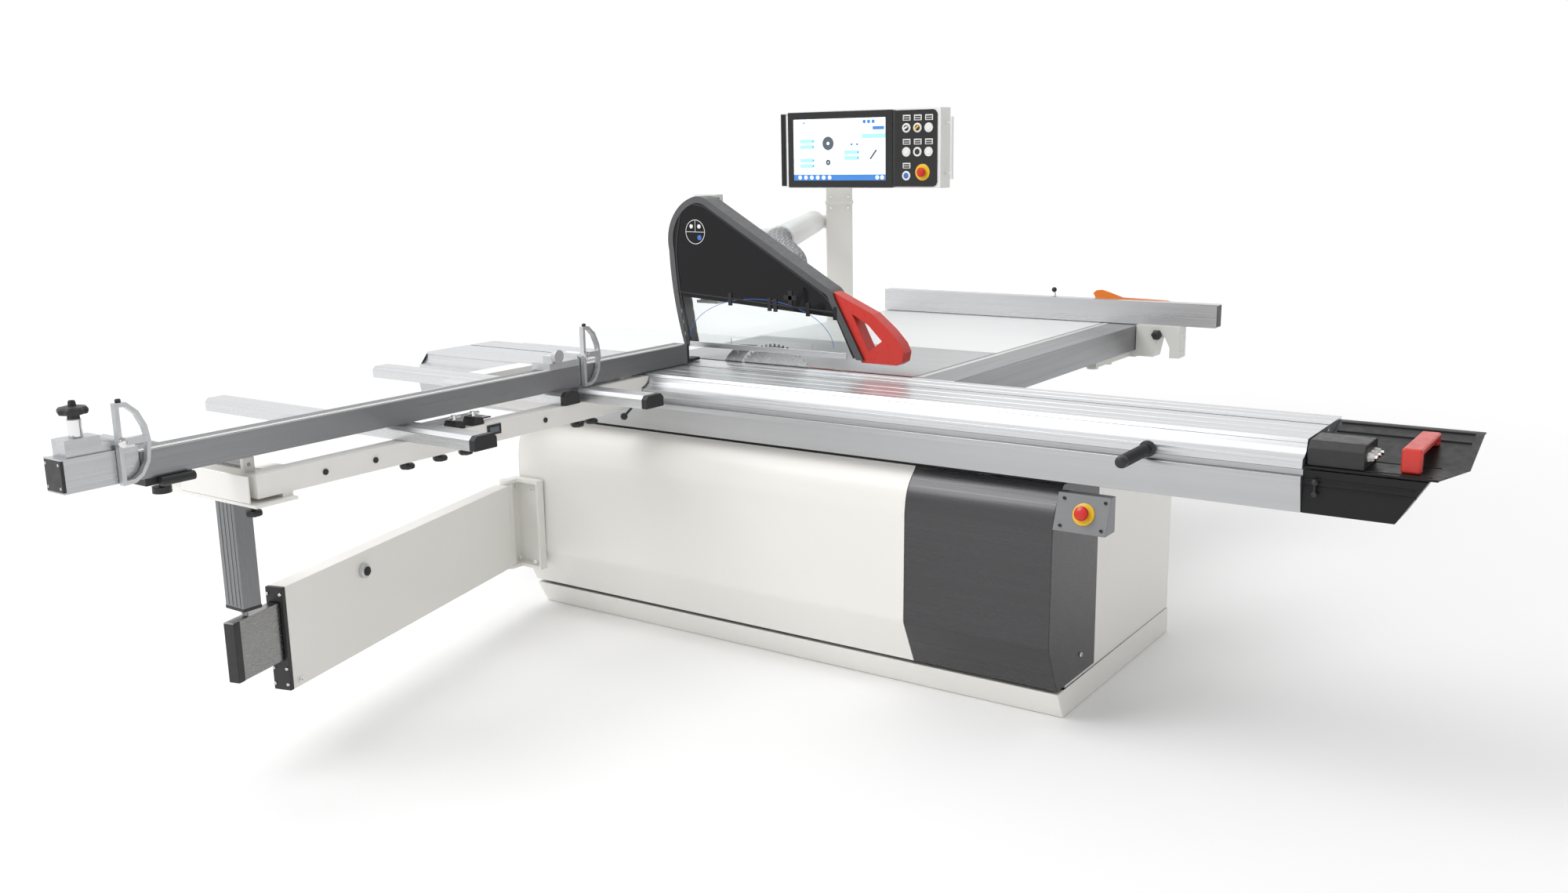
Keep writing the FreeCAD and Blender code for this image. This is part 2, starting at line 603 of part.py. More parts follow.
def build_swing_arm():
    S.add(hinge_x=-833, hinge_y=-487, arm_heading=15.57, arm_low=186, arm_high=482)
    S.add(arm_thick=55, arm_wall=4, arm_start=30, arm_end=1222, knuckle=24, hinge_pin=10)
    S.add(bracket_left=-845, bracket_right=-715, bracket_back=-422.5, bracket_front=-455)
    S.add(bracket_lug=14, inner_low=275, inner_high=440, inner_thick=32, inner_end=1416)
    S.add(inner_start=300, end_plate=14, pin_at=1352.6, leg_pin=8, leg_base=462)
    heading = Vector(
        math.sin(math.radians(float(S.arm_heading))),
        -math.cos(math.radians(float(S.arm_heading))), 0,
    )
    lug_top = S.arm_high + S.bracket_lug
    lug_low = S.arm_low - S.bracket_lug
    back_plate = box(
        "bracket_web", (S.bracket_left, S.bracket_right),
        (S.bracket_front, S.bracket_back), (lug_low, lug_top),
    )
    scoop = box(
        "bracket_scoop", (S.bracket_left + 10, S.bracket_right - 10),
        (S.bracket_front - 1, S.bracket_back - 8), (S.arm_low, S.arm_high),
    )
    lugs = []
    for low, tag in ((lug_low, "low"), (S.arm_high, "high")):
        levels = (low, low + S.bracket_lug)
        lugs.append(rod(f"hinge_lug_{tag}", S.knuckle, "z", (S.hinge_x, S.hinge_y), levels))
        lugs.append(box(
            f"hinge_neck_{tag}", (S.hinge_x - S.knuckle / 2, S.hinge_x + S.knuckle),
            (S.hinge_y, S.bracket_front), levels,
        ))
    pin = rod("hinge_pin_rod", S.hinge_pin, "z", (S.hinge_x, S.hinge_y), (lug_low, lug_top))
    bracket = cut("bracket_channel", back_plate, scoop)
    node("swing_bracket", fuse("bracket_whole", bracket, *lugs, pin))

    def arm_box(name, along, across, levels):
        block = Part.makeBox(
            float(across), float(along[1] - along[0]), float(levels[1] - levels[0]),
            Vector(-float(across) / 2, -float(along[1]), float(levels[0])),
        )
        block.rotate(Vector(), Vector(0, 0, 1), float(S.arm_heading))
        block.translate(Vector(float(S.hinge_x), float(S.hinge_y), 0))
        return block

    gap = float(S.seat_gap)
    outer = arm_box("outer", (S.arm_start, S.arm_end), S.arm_thick,
                    (S.arm_low + gap, S.arm_high - gap))
    hollow = arm_box("hollow", (S.arm_start + 20, S.arm_end + 1),
                     S.arm_thick - 2 * S.arm_wall,
                     (S.arm_low + S.arm_wall, S.arm_high - S.arm_wall))
    spot = Vector(float(S.hinge_x), float(S.hinge_y), float(S.arm_low) + gap)
    tall = float(S.arm_high - S.arm_low) - 2 * gap
    barrel = Part.makeCylinder(float(S.knuckle) - 1, tall, spot)
    neck = arm_box("neck", (0, S.arm_start + 1), S.knuckle,
                   (S.arm_low + gap, S.arm_high - gap))
    bore = Part.makeCylinder(float(S.hinge_pin + S.running_gap), tall + 2, spot - Vector(0, 0, 1))
    slab = arm_box("slab", (S.arm_end, S.arm_end + S.end_plate), S.arm_thick,
                   (S.arm_low, S.arm_high))
    window = arm_box("window", (S.arm_end - 1, S.arm_end + S.end_plate + 1),
                     S.inner_thick + 2 * S.seat_gap,
                     (S.inner_low - S.seat_gap, S.inner_high + S.seat_gap))
    node("arm_end_plate", feature("arm_plate", slab.cut(window)))
    body = outer.fuse([barrel, neck]).cut([hollow, bore])
    node("swing_arm", feature("arm_tube", body))
    bar = arm_box("bar", (S.inner_start, S.inner_end), S.inner_thick,
                  (S.inner_low, S.inner_high))
    shoe = arm_box("shoe", (S.inner_start, S.inner_start + S.arm_thick),
                   S.arm_thick - 2 * S.arm_wall - 2 * S.seat_gap,
                   (S.arm_low + S.arm_wall + S.seat_gap, S.arm_high - S.arm_wall - S.seat_gap))
    pin_spot = Vector(float(S.hinge_x), float(S.hinge_y), 0) + heading * float(S.pin_at)
    pin_spot.z = float(S.inner_high)
    stub = Part.makeCylinder(
        float(S.leg_pin), float(S.leg_base - S.inner_high) - 2 * gap, pin_spot,
    )
    node("inner_arm", feature("inner_bar", bar.fuse([shoe, stub])))
    S.add(leg_x=-470, leg_y=-1790, leg_wide=78, leg_deep=54, leg_top=782, leg_wall=4)
    leg = box(
        "leg_outer", (S.leg_x - S.leg_wide / 2, S.leg_x + S.leg_wide / 2),
        (S.leg_y - S.leg_deep / 2, S.leg_y + S.leg_deep / 2), (S.leg_base, S.leg_top),
    )
    inside = box(
        "leg_inner",
        (S.leg_x - S.leg_wide / 2 + S.leg_wall, S.leg_x + S.leg_wide / 2 - S.leg_wall),
        (S.leg_y - S.leg_deep / 2 + S.leg_wall, S.leg_y + S.leg_deep / 2 - S.leg_wall),
        (S.leg_base + S.leg_wall, S.leg_top + 1),
    )
    node("support_leg", cut("leg_tube", leg, inside))


# ---------------------------------------------------------------- sliding carriage
def build_carriage():
    S.add(slot_near=154, slot_far=142, slot_depth=7, slot_base=20, slot_under=5)
    S.add(flute_z=855, flute_mid=870, flute_mid_y=366, flute_low_y=380, edge_thin=7)
    S.add(under_near=50, under_near_z=884, under_mid=110, under_mid_z=850, under_far=150)
    top = S.table_top
    outline = [
        (-S.carriage_inner, top), (-S.carriage_inner, top - S.edge_thin),
        (-S.under_near, S.under_near_z), (-S.under_mid, S.under_mid_z),
        (-S.under_far, carriage_base), (-S.lip_outer, carriage_base),
        (-S.lip_outer + 2, S.flute_z), (-S.flute_low_y, S.flute_z + 5),
        (-S.flute_mid_y, S.flute_mid), (-S.flat_outer, top),
        (-S.slot_near, top), (-S.slot_near, top - S.slot_depth),
        (-S.slot_near - S.slot_under, top - S.slot_depth),
        (-S.slot_near - S.slot_under, top - S.slot_base),
        (-S.slot_far + S.slot_under, top - S.slot_base),
        (-S.slot_far + S.slot_under, top - S.slot_depth),
        (-S.slot_far, top - S.slot_depth), (-S.slot_far, top),
    ]
    span = (carriage_far, S.carriage_near)
    solid = prism("carriage_solid", "x", outline, span)
    S.add(chamber_wall=8, chamber_one=-345, chamber_two=-262, chamber_three=-170)
    wall = S.chamber_wall
    chambers = [
        box(f"chamber_{tag}", (carriage_far - 1, S.carriage_near + 1), (low, high),
            (carriage_base + wall, top - wall))
        for low, high, tag in (
            (S.chamber_one, S.chamber_two - wall, "outer"),
            (S.chamber_two, S.chamber_three, "inner"),
        )
    ]
    node("carriage_table", cut("carriage_profile", solid, *chambers))
    S.add(tray_right=2152, tray_thin=4, tray_near=-386, tray_level=838, tray_fold=-230)
    S.add(tray_far=-45, tray_far_z=893, tray_edge=-20, tray_gap=0.5, tray_skirt=832.5)
    S.add(tray_tip=2200)
    thin = S.tray_thin
    left = S.carriage_near + S.tray_gap
    section = [
        (S.tray_near, S.tray_skirt), (S.tray_near, S.tray_level), (S.tray_fold, S.tray_level),
        (S.tray_far, S.tray_far_z), (S.tray_edge, S.tray_far_z),
        (S.tray_edge, S.tray_far_z - thin), (S.tray_far, S.tray_far_z - thin),
        (S.tray_fold, S.tray_level - thin), (S.tray_near + thin, S.tray_level - thin),
        (S.tray_near + thin, S.tray_skirt),
    ]
    sheet_part = prism("tray_sheet", "x", section, (left, S.tray_tip))
    corner = prism("tray_corner", "z", [
        (S.tray_right, S.tray_near - 10), (S.tray_tip + 10, S.tray_near - 10),
        (S.tray_tip + 10, S.tray_fold), (S.tray_tip, S.tray_fold),
    ], (S.tray_skirt - 10, S.tray_far_z + 10))
    joint = box(
        "tray_joint", (S.carriage_near, S.carriage_near + 40), (S.tray_near + thin, S.tray_fold),
        (S.tray_skirt, S.tray_level - thin),
    )
    node("tail_tray", fuse("tray_whole", cut("tray_trimmed", sheet_part, corner), joint))
    S.add(box_left=1855, box_right=1989, box_near=-377, box_far=-240, box_top=900)
    S.add(toggle_radius=6, toggle_reach=24, toggle_level=868, toggle_first=-345, toggle_pitch=34)
    node("control_box", box(
        "control_block", (S.box_left, S.box_right), (S.box_near, S.box_far),
        (S.tray_level, S.box_top),
    ))
    toggles = []
    for index in range(3):
        y = S.toggle_first + index * S.toggle_pitch
        toggles.append(rod(
            f"toggle_{index + 1}", S.toggle_radius, "x", (y, S.toggle_level),
            (S.box_right, S.box_right + S.toggle_reach),
        ))
    node("tail_switches", group("toggle_group", *toggles))
    S.add(grab_left=2065, grab_right=2112, grab_near=-357, grab_far=-110, grab_top=900)
    S.add(grab_bar=18, grab_foot=26)
    levels = (S.tray_level, S.grab_top)
    blank = box("grab_blank", (S.grab_left, S.grab_right), (S.grab_near, S.grab_far), levels)
    opening = box(
        "grab_opening", (S.grab_left - 1, S.grab_right + 1),
        (S.grab_near + S.grab_foot, S.grab_far - S.grab_foot),
        (S.tray_level - 1, S.grab_top - S.grab_bar),
    )
    slope = prism("grab_slope", "x", [
        (S.tray_fold, S.tray_level), (S.tray_far, S.tray_level), (S.tray_far, S.tray_far_z),
    ], (S.grab_left - 2, S.grab_right + 2))
    node("tail_handle", cut("grab_handle", blank, opening, slope))
    S.add(side_grip_x=1461, side_grip_z=842, side_grip=17, side_grip_end=-600)
    flange = rod(
        "grip_flange_disc", S.side_grip + 5, "y", (S.side_grip_x, S.side_grip_z),
        (-S.lip_outer - 10, -S.lip_outer),
    )
    bar = rod(
        "grip_bar", S.side_grip, "y", (S.side_grip_x, S.side_grip_z),
        (S.side_grip_end, -S.lip_outer),
    )
    node("side_handle", fuse("side_grip_whole", flange, bar))
    S.add(cage_left=-500, cage_length=1500, cage_roller=8.7, cage_pitch=150, cage_axle=3)
    level = S.beam_top + S.rail_rise + S.seat_gap + S.cage_roller
    strip = box(
        "cage_strip", (S.cage_left, S.cage_left + S.cage_length),
        (S.rail_near + 10, S.rail_far - 10), (level - 4, level + 4),
    )
    pieces = [strip]
    for index in range(11):
        x = S.cage_left + index * S.cage_pitch
        if index in (0, 10):
            x = x + (10 if index == 0 else -10)
        pieces.append(rod(
            f"cage_axle_{index}", S.cage_axle, "y", (x, level), (S.rail_near, S.rail_far),
        ))
        for y, tag in ((S.rail_near, "near"), (S.rail_far, "far")):
            pieces.append(rod(
                f"cage_roller_{tag}_{index}", S.cage_roller, "y", (x, level), (y - 7, y + 7),
            ))
    node("roller_cage", fuse("cage_whole", *pieces))


# ---------------------------------------------------------------- crosscut frame
S.add(frame_near=-255, rail_box=60, frame_far=-870, rail_low=800, rail_high=858)
S.add(frame_outer=-1860, bar_top=898, hook_end=-600, pivot_x=-316, pivot_y=-450)
S.add(fence_face=-282, fence_back=-350, fence_low=903, fence_high=968, hook_top=893)


def build_crosscut_frame():
    S.add(plate_left=-723, plate_right=-236, plate_front=-1882, plate_back=-1760, shelf=8)
    S.add(hook_nose=-361, hook_lip_z=835, hook_root=-420)
    S.add(roller_y=-1835, roller_z=876, roller_radius=15, journal=5, roller_margin=15)
    S.add(cheek=12, cheek_half=16)
    roller_left = S.frame_far + S.rail_box + S.cheek
    roller_right = S.frame_near - S.rail_box - S.roller_margin
    levels = (S.rail_low, S.rail_high)
    pieces = [
        box("near_rail", (S.frame_near - S.rail_box, S.frame_near),
            (S.frame_outer, S.hook_end), levels),
        box("far_rail", (S.frame_far, S.frame_far + S.rail_box),
            (S.frame_outer, S.hook_end), levels),
        box("outer_beam", (S.frame_far, S.frame_near),
            (S.frame_outer + S.rail_box, S.frame_outer + 2 * S.rail_box), levels),
        box("inner_beam", (S.frame_far, S.frame_near),
            (S.hook_end - S.rail_box, S.hook_end), levels),
        box("outer_shelf", (S.plate_left, S.plate_right), (S.plate_front, S.plate_back),
            (S.leg_top, S.leg_top + S.shelf)),
        box("shelf_riser", (S.plate_left, S.frame_near), (S.plate_back - 30, S.plate_back),
            (S.leg_top, S.rail_low)),
    ]
    lip = -S.lip_outer - S.seat_gap
    hook = [
        (S.hook_end, S.hook_top), (S.hook_nose, S.hook_top), (S.hook_nose - 3, S.hook_top - 10),
        (S.hook_nose - 11, S.hook_top - 21), (S.hook_nose - 23, S.hook_top - 29),
        (lip, S.hook_top - 34), (lip, S.hook_lip_z), (S.hook_root, S.hook_lip_z),
        (S.hook_root, S.rail_low), (S.hook_end, S.rail_low),
    ]
    S.add(hook_width=83)
    for right, tag in ((S.frame_near - 7, "near"), (S.frame_far + 90, "far")):
        pieces.append(prism(f"hook_{tag}", "x", hook, (right - S.hook_width, right)))
    for left, tag in ((roller_left - S.cheek, "left"), (roller_right, "right")):
        cheek = box(
            f"cheek_{tag}", (left, left + S.cheek),
            (S.roller_y - S.cheek_half, S.roller_y + S.cheek_half),
            (S.leg_top, S.hook_top),
        )
        bore = rod(
            f"cheek_bore_{tag}", S.journal + S.running_gap, "x", (S.roller_y, S.roller_z),
            (left - 1, left + S.cheek + 1),
        )
        pieces.append(cut(f"cheek_bored_{tag}", cheek, bore))
    spacer = rod(
        "pivot_spacer", 20, "z", (S.pivot_x, S.pivot_y),
        (S.hook_top, S.fence_low - S.seat_gap),
    )
    S.add(pivot_pin=10, pivot_rise=6)
    pin = rod(
        "pivot_pin_rod", S.pivot_pin, "z", (S.pivot_x, S.pivot_y),
        (S.hook_top, S.fence_low + S.pivot_rise - 1),
    )
    node("crosscut_frame", fuse("crosscut_weldment", *pieces, spacer, pin))
    barrel = rod(
        "roller_barrel", S.roller_radius, "x", (S.roller_y, S.roller_z),
        (roller_left + 1, roller_right - 1),
    )
    journals = rod(
        "roller_journals", S.journal, "x", (S.roller_y, S.roller_z),
        (roller_left - S.cheek, roller_right + S.cheek),
    )
    node("loading_roller", fuse("roller_whole", barrel, journals))
    S.add(bar_one=-1390, bar_two=-695, bar_width=80, bar_near=10, bar_one_far=-1184)
    S.add(bar_two_far=-1248, bar_three=-775, bar_three_width=65, bar_three_near=-248)
    S.add(bar_three_far=-800, bar_wall=3)
    bars = []
    for far, near, y, wide, tag in (
        (S.bar_one_far, S.bar_near, S.bar_one, S.bar_width, "one"),
        (S.bar_two_far, S.bar_near, S.bar_two, S.bar_width, "two"),
        (S.bar_three_far, S.bar_three_near, S.bar_three, S.bar_three_width, "three"),
    ):
        outer = box(f"bar_{tag}", (far, near), (y, y + wide),
                    (S.rail_high, S.bar_top))
        inner = box(f"bar_hollow_{tag}", (far + S.bar_wall, near + 1),
                    (y + S.bar_wall, y + wide - S.bar_wall),
                    (S.rail_high + S.bar_wall, S.bar_top - S.bar_wall))
        bars.append(cut(f"bar_tube_{tag}", outer, inner))
    node("cross_bars", group("bar_group", *bars))
    S.add(knob_radius=22, knob_height=16, knob_drop=9, knob_stem=6)
    knobs = []
    x = S.frame_near - S.rail_box / 2
    for index, y in enumerate((-1790, -1371, -1253, -1157, -690, -625)):
        base = S.leg_top if index == 0 else S.rail_low
        spot = (S.frame_near - 12, -1868) if index == 0 else (x, y)
        head = rod(f"knob_head_{index}", S.knob_radius, "z", spot,
                   (base - S.knob_drop - S.knob_height, base - S.knob_drop))
        stem = rod(f"knob_stem_{index}", S.knob_stem, "z", spot, (base - S.knob_drop, base))
        knobs.append(fuse(f"knob_{index}", head, stem))
    node("frame_knobs", group("knob_group", *knobs))
    S.add(lever_y=-500, lever_z=820, lever_hub=9, lever_ball=12, lever_reach=78, lever_rod=4)
    S.add(lever_hub_length=19, lever_offset=13)
    x0 = float(S.frame_near) - 7 + float(S.seat_gap)
    hub_centre = Vector(x0, float(S.lever_y) + 60, float(S.lever_z))
    hub = Part.makeCylinder(float(S.lever_hub), float(S.lever_hub_length), hub_centre,
                            Vector(1, 0, 0))
    direction = Vector(0, -0.87, -0.49)
    middle = hub_centre + Vector(float(S.lever_offset), 0, 0)
    stem = Part.makeCylinder(float(S.lever_rod), float(S.lever_reach), middle, direction)
    ball = Part.makeSphere(float(S.lever_ball), middle + direction * float(S.lever_reach))
    node("frame_clamp_lever", feature("ball_lever", hub.fuse([stem, ball])))


def build_fence():
    S.add(fence_outer_end=-2134, fence_inner_end=-130, fence_wall=6)
    back, face = S.fence_back, S.fence_face
    along = (S.fence_outer_end, S.fence_inner_end)
    solid = box("fence_solid", (back, face), along, (S.fence_low, S.fence_high))
    wall = S.fence_wall
    chamber = box(
        "fence_chamber", (back + wall, face - wall),
        (S.fence_outer_end - 1, S.fence_inner_end + 1),
        (S.fence_low + wall, S.fence_high - wall),
    )
    pin_hole = rod(
        "fence_pin_hole", S.pivot_pin + S.running_gap, "z", (S.pivot_x, S.pivot_y),
        (S.fence_low - 1, S.fence_low + wall + 1),
    )
    node("fence_profile", cut("fence_tube", solid, chamber, pin_hole))
    S.add(shoe_thick=12, wedge_tip=-40, wedge_height=10, foot_low=885, foot_inner=-2010)
    S.add(foot_outer=-2128, hand_grip=11, grip_low_end=-2100, grip_high_end=-2015)
    inner_end = S.fence_inner_end
    shoe = box("fence_shoe", (back, face), (inner_end, inner_end + S.shoe_thick),
               (S.fence_low, S.fence_high))
    wedge = box("shoe_wedge", (back + 15, face - 15), (inner_end, S.wedge_tip),
                (S.fence_low, S.fence_low + S.wedge_height))
    foot = box("outer_foot", (back, face), (S.foot_outer, S.foot_inner),
               (S.foot_low, S.fence_low))
    grip = rod("outer_grip", S.hand_grip, "y",
               (face + S.hand_grip + 4, S.foot_low + 8), (S.grip_low_end, S.grip_high_end))
    stem = box("grip_stem", (face - 1, face + 8), (S.grip_low_end + 10, S.grip_low_end + 30),
               (S.foot_low + 2, S.foot_low + 14))
    knob = rod("outer_knob", S.knob_radius, "z", (S.pivot_x, S.grip_low_end + 30),
               (S.foot_low - 30, S.foot_low - 14))
    knob_stem = rod("outer_knob_stem", S.knob_stem, "z", (S.pivot_x, S.grip_low_end + 30),
                    (S.foot_low - 14, S.foot_low))
    node("fence_fittings", group(
        "fittings", fuse("inner_fitting", shoe, wedge),
        fuse("outer_fitting", foot, grip, stem, knob, knob_stem),
    ))
    S.add(extension_end=-2310, extension_low=905, extension_high=983, extension_gap=2)
    S.add(tongue_end=-1300, cap_block_high=1022, cap_block_outer=-2298, cap_block_inner=-2216)
    S.add(post_radius=15, post_y=-2257, post_top=1063, end_cap=8)
    start = S.fence_outer_end - S.extension_gap
    gap = wall + S.seat_gap
    tongue = box("tongue", (back + gap, face - gap), (start, S.tongue_end),
                 (S.fence_low + gap, S.fence_high - gap))
    head = box("extension_head", (back, face - 1), (S.extension_end, start),
               (S.extension_low, S.extension_high))
    plate = box("extension_plate", (back - 2, face - 1),
                (S.extension_end - S.end_cap, S.extension_end),
                (S.extension_low, S.extension_high + 1))
    crown = box("extension_crown", (back + 6, face - 8),
                (S.cap_block_outer, S.cap_block_inner), (S.extension_high, S.cap_block_high))
    post = rod("extension_post", S.post_radius, "z", (S.pivot_x, S.post_y),
               (S.cap_block_high, S.post_top))
    S.add(hub_level=1000, hub_radius=12, stop_thick=17, stop_gap=0.5, stop_hub_one=-2180)
    boss = rod("extension_boss", S.hub_radius, "x", (S.stop_hub_one, S.hub_level),
               (back + 6, face + S.stop_gap))
    node("fence_extension", fuse("extension_whole", tongue, head, plate, crown, post, boss,
         box("boss_carrier", (back + 6, face - 8), (S.cap_block_inner, S.stop_hub_one + 12),
             (S.extension_high, S.hub_level))))
    S.add(wheel_radius=34, wheel_high=1092, cap_knob=8, cap_knob_high=1105)
    wheel = rod("wheel", S.wheel_radius, "z", (S.pivot_x, S.post_y),
                (S.post_top + S.seat_gap + 8, S.wheel_high))
    neck = rod("wheel_neck", S.post_radius - 2, "z", (S.pivot_x, S.post_y),
               (S.post_top + S.seat_gap, S.post_top + S.seat_gap + 8))
    tip = rod("wheel_tip", S.cap_knob, "z", (S.pivot_x, S.post_y),
              (S.wheel_high, S.cap_knob_high))
    node("extension_knob", fuse("extension_wheel", wheel, neck, tip))

    def flip_stop(name, hub_y):
        """Open D-shaped stop with ribs from its hub, in the plane just before the fence."""
        x = (face + S.stop_gap + 0.3, face + S.stop_gap + S.stop_thick)
        rim = [(-10, -99), (-10, 90), (18, 90), (45, 66), (62, 30), (68, -10), (60, -55),
               (42, -84), (22, -97)]
        inner = [(0, 8), (0, 80), (16, 79), (38, 58), (53, 26), (57, 8)]
        lower = [(0, -88), (0, -8), (58, -8), (52, -50), (37, -76), (20, -87)]
        def shift(points):
            return [(hub_y + y, S.hub_level + z) for y, z in points]
        plate_part = prism(f"{name}_rim", "x", shift(rim), x)
        windows = [
            prism(f"{name}_window_{index}", "x", shift(points), (x[0] - 1, x[1] + 1))
            for index, points in enumerate((inner, lower))
        ]
        hub = rod(f"{name}_hub", S.hub_radius, "x", (hub_y, S.hub_level), x)
        return fuse(f"{name}_whole", cut(f"{name}_open", plate_part, *windows), hub)

    node("stop_flip_1", flip_stop("first_stop", S.stop_hub_one))
    S.add(stop_hub_two=-655, slide_outer=-800, slide_inner=-640, slide_high=990, dial=20)
    S.add(dial_offset=117, dial_stem=8)
    dial_y = S.stop_hub_two - S.dial_offset
    saddle = box("stop_saddle", (back, face - 1), (S.slide_outer, S.slide_inner),
                 (S.fence_high + S.seat_gap, S.slide_high))
    lip = box("saddle_lip", (back - 8, back - S.seat_gap), (S.slide_outer, S.slide_inner),
              (S.fence_high - 30, S.slide_high))
    lip_top = box("saddle_lip_top", (back - 8, back), (S.slide_outer, S.slide_inner),
                  (S.fence_high + S.seat_gap, S.slide_high))
    pillar = box("saddle_pillar", (back + 6, face - 8),
                 (S.stop_hub_two - 14, S.stop_hub_two + 14), (S.slide_high, S.hub_level))
    boss = rod("saddle_boss", S.hub_radius, "x", (S.stop_hub_two, S.hub_level),
               (back + 6, face + S.stop_gap))
    neck = rod("dial_neck", S.dial_stem, "x", (dial_y, S.hub_level + S.dial_stem),
               (back + 20, face - 4))
    knob = rod("dial_knob", S.dial, "x", (dial_y, S.hub_level + 11),
               (face - 4, face + 14))
    perch = box("dial_perch", (back + 20, face - 8),
                (dial_y - S.dial_stem, dial_y + S.dial_stem),
                (S.slide_high, S.hub_level + S.dial_stem))
    node("stop_slide", fuse(
        "stop_slide_whole", saddle, lip, lip_top, pillar, boss, perch, neck, knob,
    ))
    node("stop_flip_2", flip_stop("second_stop", S.stop_hub_two))


# ---------------------------------------------------------------- rip fence
def build_rip_fence():
    S.add(rip_face=1580, rip_rear=1640, rip_low=904, rip_high=996, rip_far=-498, rip_near=1008)
    S.add(rip_wall=4, body_left=691.5, body_right=870, body_low=777, body_front=1560)
    S.add(foot_left=610, foot_drop=772, adjuster_front=1200, adjuster_low=774)
    solid = box("rip_solid", (S.rip_far, S.rip_near), (S.rip_face, S.rip_rear),
                (S.rip_low, S.rip_high))
    chamber = box("rip_chamber", (S.rip_far - 1, S.rip_near + 1),
                  (S.rip_face + S.rip_wall, S.rip_rear - S.rip_wall),
                  (S.rip_low + S.rip_wall, S.rip_high - S.rip_wall))
    node("rip_fence_profile", cut("rip_tube", solid, chamber))
    top = S.rip_low - S.seat_gap
    casting = box("rip_casting", (S.body_left, S.body_right), (S.body_front, S.rip_back),
                  (S.body_low, top))
    arch = prism("rip_arch", "y", [
        (S.body_left + 75, S.body_low - 1), (S.body_left + 90, S.body_low + 70),
        (S.body_left + 118, S.body_low + 84), (S.body_left + 140, S.body_low + 40),
        (S.body_left + 140, S.body_low - 1),
    ], (S.body_front - 1, S.rip_back + 1))
    toe = box("rip_toe", (S.foot_left, S.body_left + 1), (S.body_front, S.rip_back),
              (S.foot_drop, S.rail_base - S.seat_gap))
    block = box("rip_adjust_block", (S.foot_left, S.foot_left + 60),
                (S.adjuster_front, S.body_front), (S.adjuster_low, S.rail_base - S.seat_gap))
    knobs = [
        rod(f"rip_knob_{index}", S.knob_radius, "z",
            (S.foot_left + 30, S.adjuster_front + 40 + index * 140),
            (S.adjuster_low - 10, S.adjuster_low))
        for index in range(2)
    ]
    node("rip_fence_body", fuse("rip_body_whole", cut("rip_casting_cut", casting, arch), toe,
                                block, *knobs))
    S.add(clamp_x=300, clamp_z=975, clamp_hub=12, clamp_reach=46, clamp_ball=11)
    base = Vector(float(S.clamp_x), float(S.rip_rear) + float(S.seat_gap), float(S.clamp_z))
    hub = Part.makeCylinder(float(S.clamp_hub), 22, base, Vector(0, 1, 0))
    middle = base + Vector(0, 15, 0)
    direction = Vector(-0.25, 0.1, 0.96)
    stem = Part.makeCylinder(4, float(S.clamp_reach), middle, direction)
    ball = Part.makeSphere(float(S.clamp_ball), middle + direction * float(S.clamp_reach))
    node("rip_clamp_lever", feature("clamp_lever", hub.fuse([stem, ball])))
    S.add(stick_left=470, stick_right=820, stick_thick=8, stick_top=1030)
    outline = [
        (S.stick_left, S.stick_top - 15), (S.stick_left + 15, S.stick_top - 3),
        (S.stick_left + 40, S.stick_top), (S.stick_left + 75, S.stick_top - 10),
        (S.stick_left + 130, S.stick_top - 28), (S.stick_right - 30, S.stick_top - 32),
        (S.stick_right, S.stick_top - 40), (S.stick_right, S.stick_top - 60),
        (S.stick_left + 60, S.stick_top - 62), (S.stick_left + 20, S.stick_top - 50),
    ]
    node("push_stick", prism("stick_plate", "y", outline, (
        S.rip_rear, S.rip_rear + S.stick_thick)))


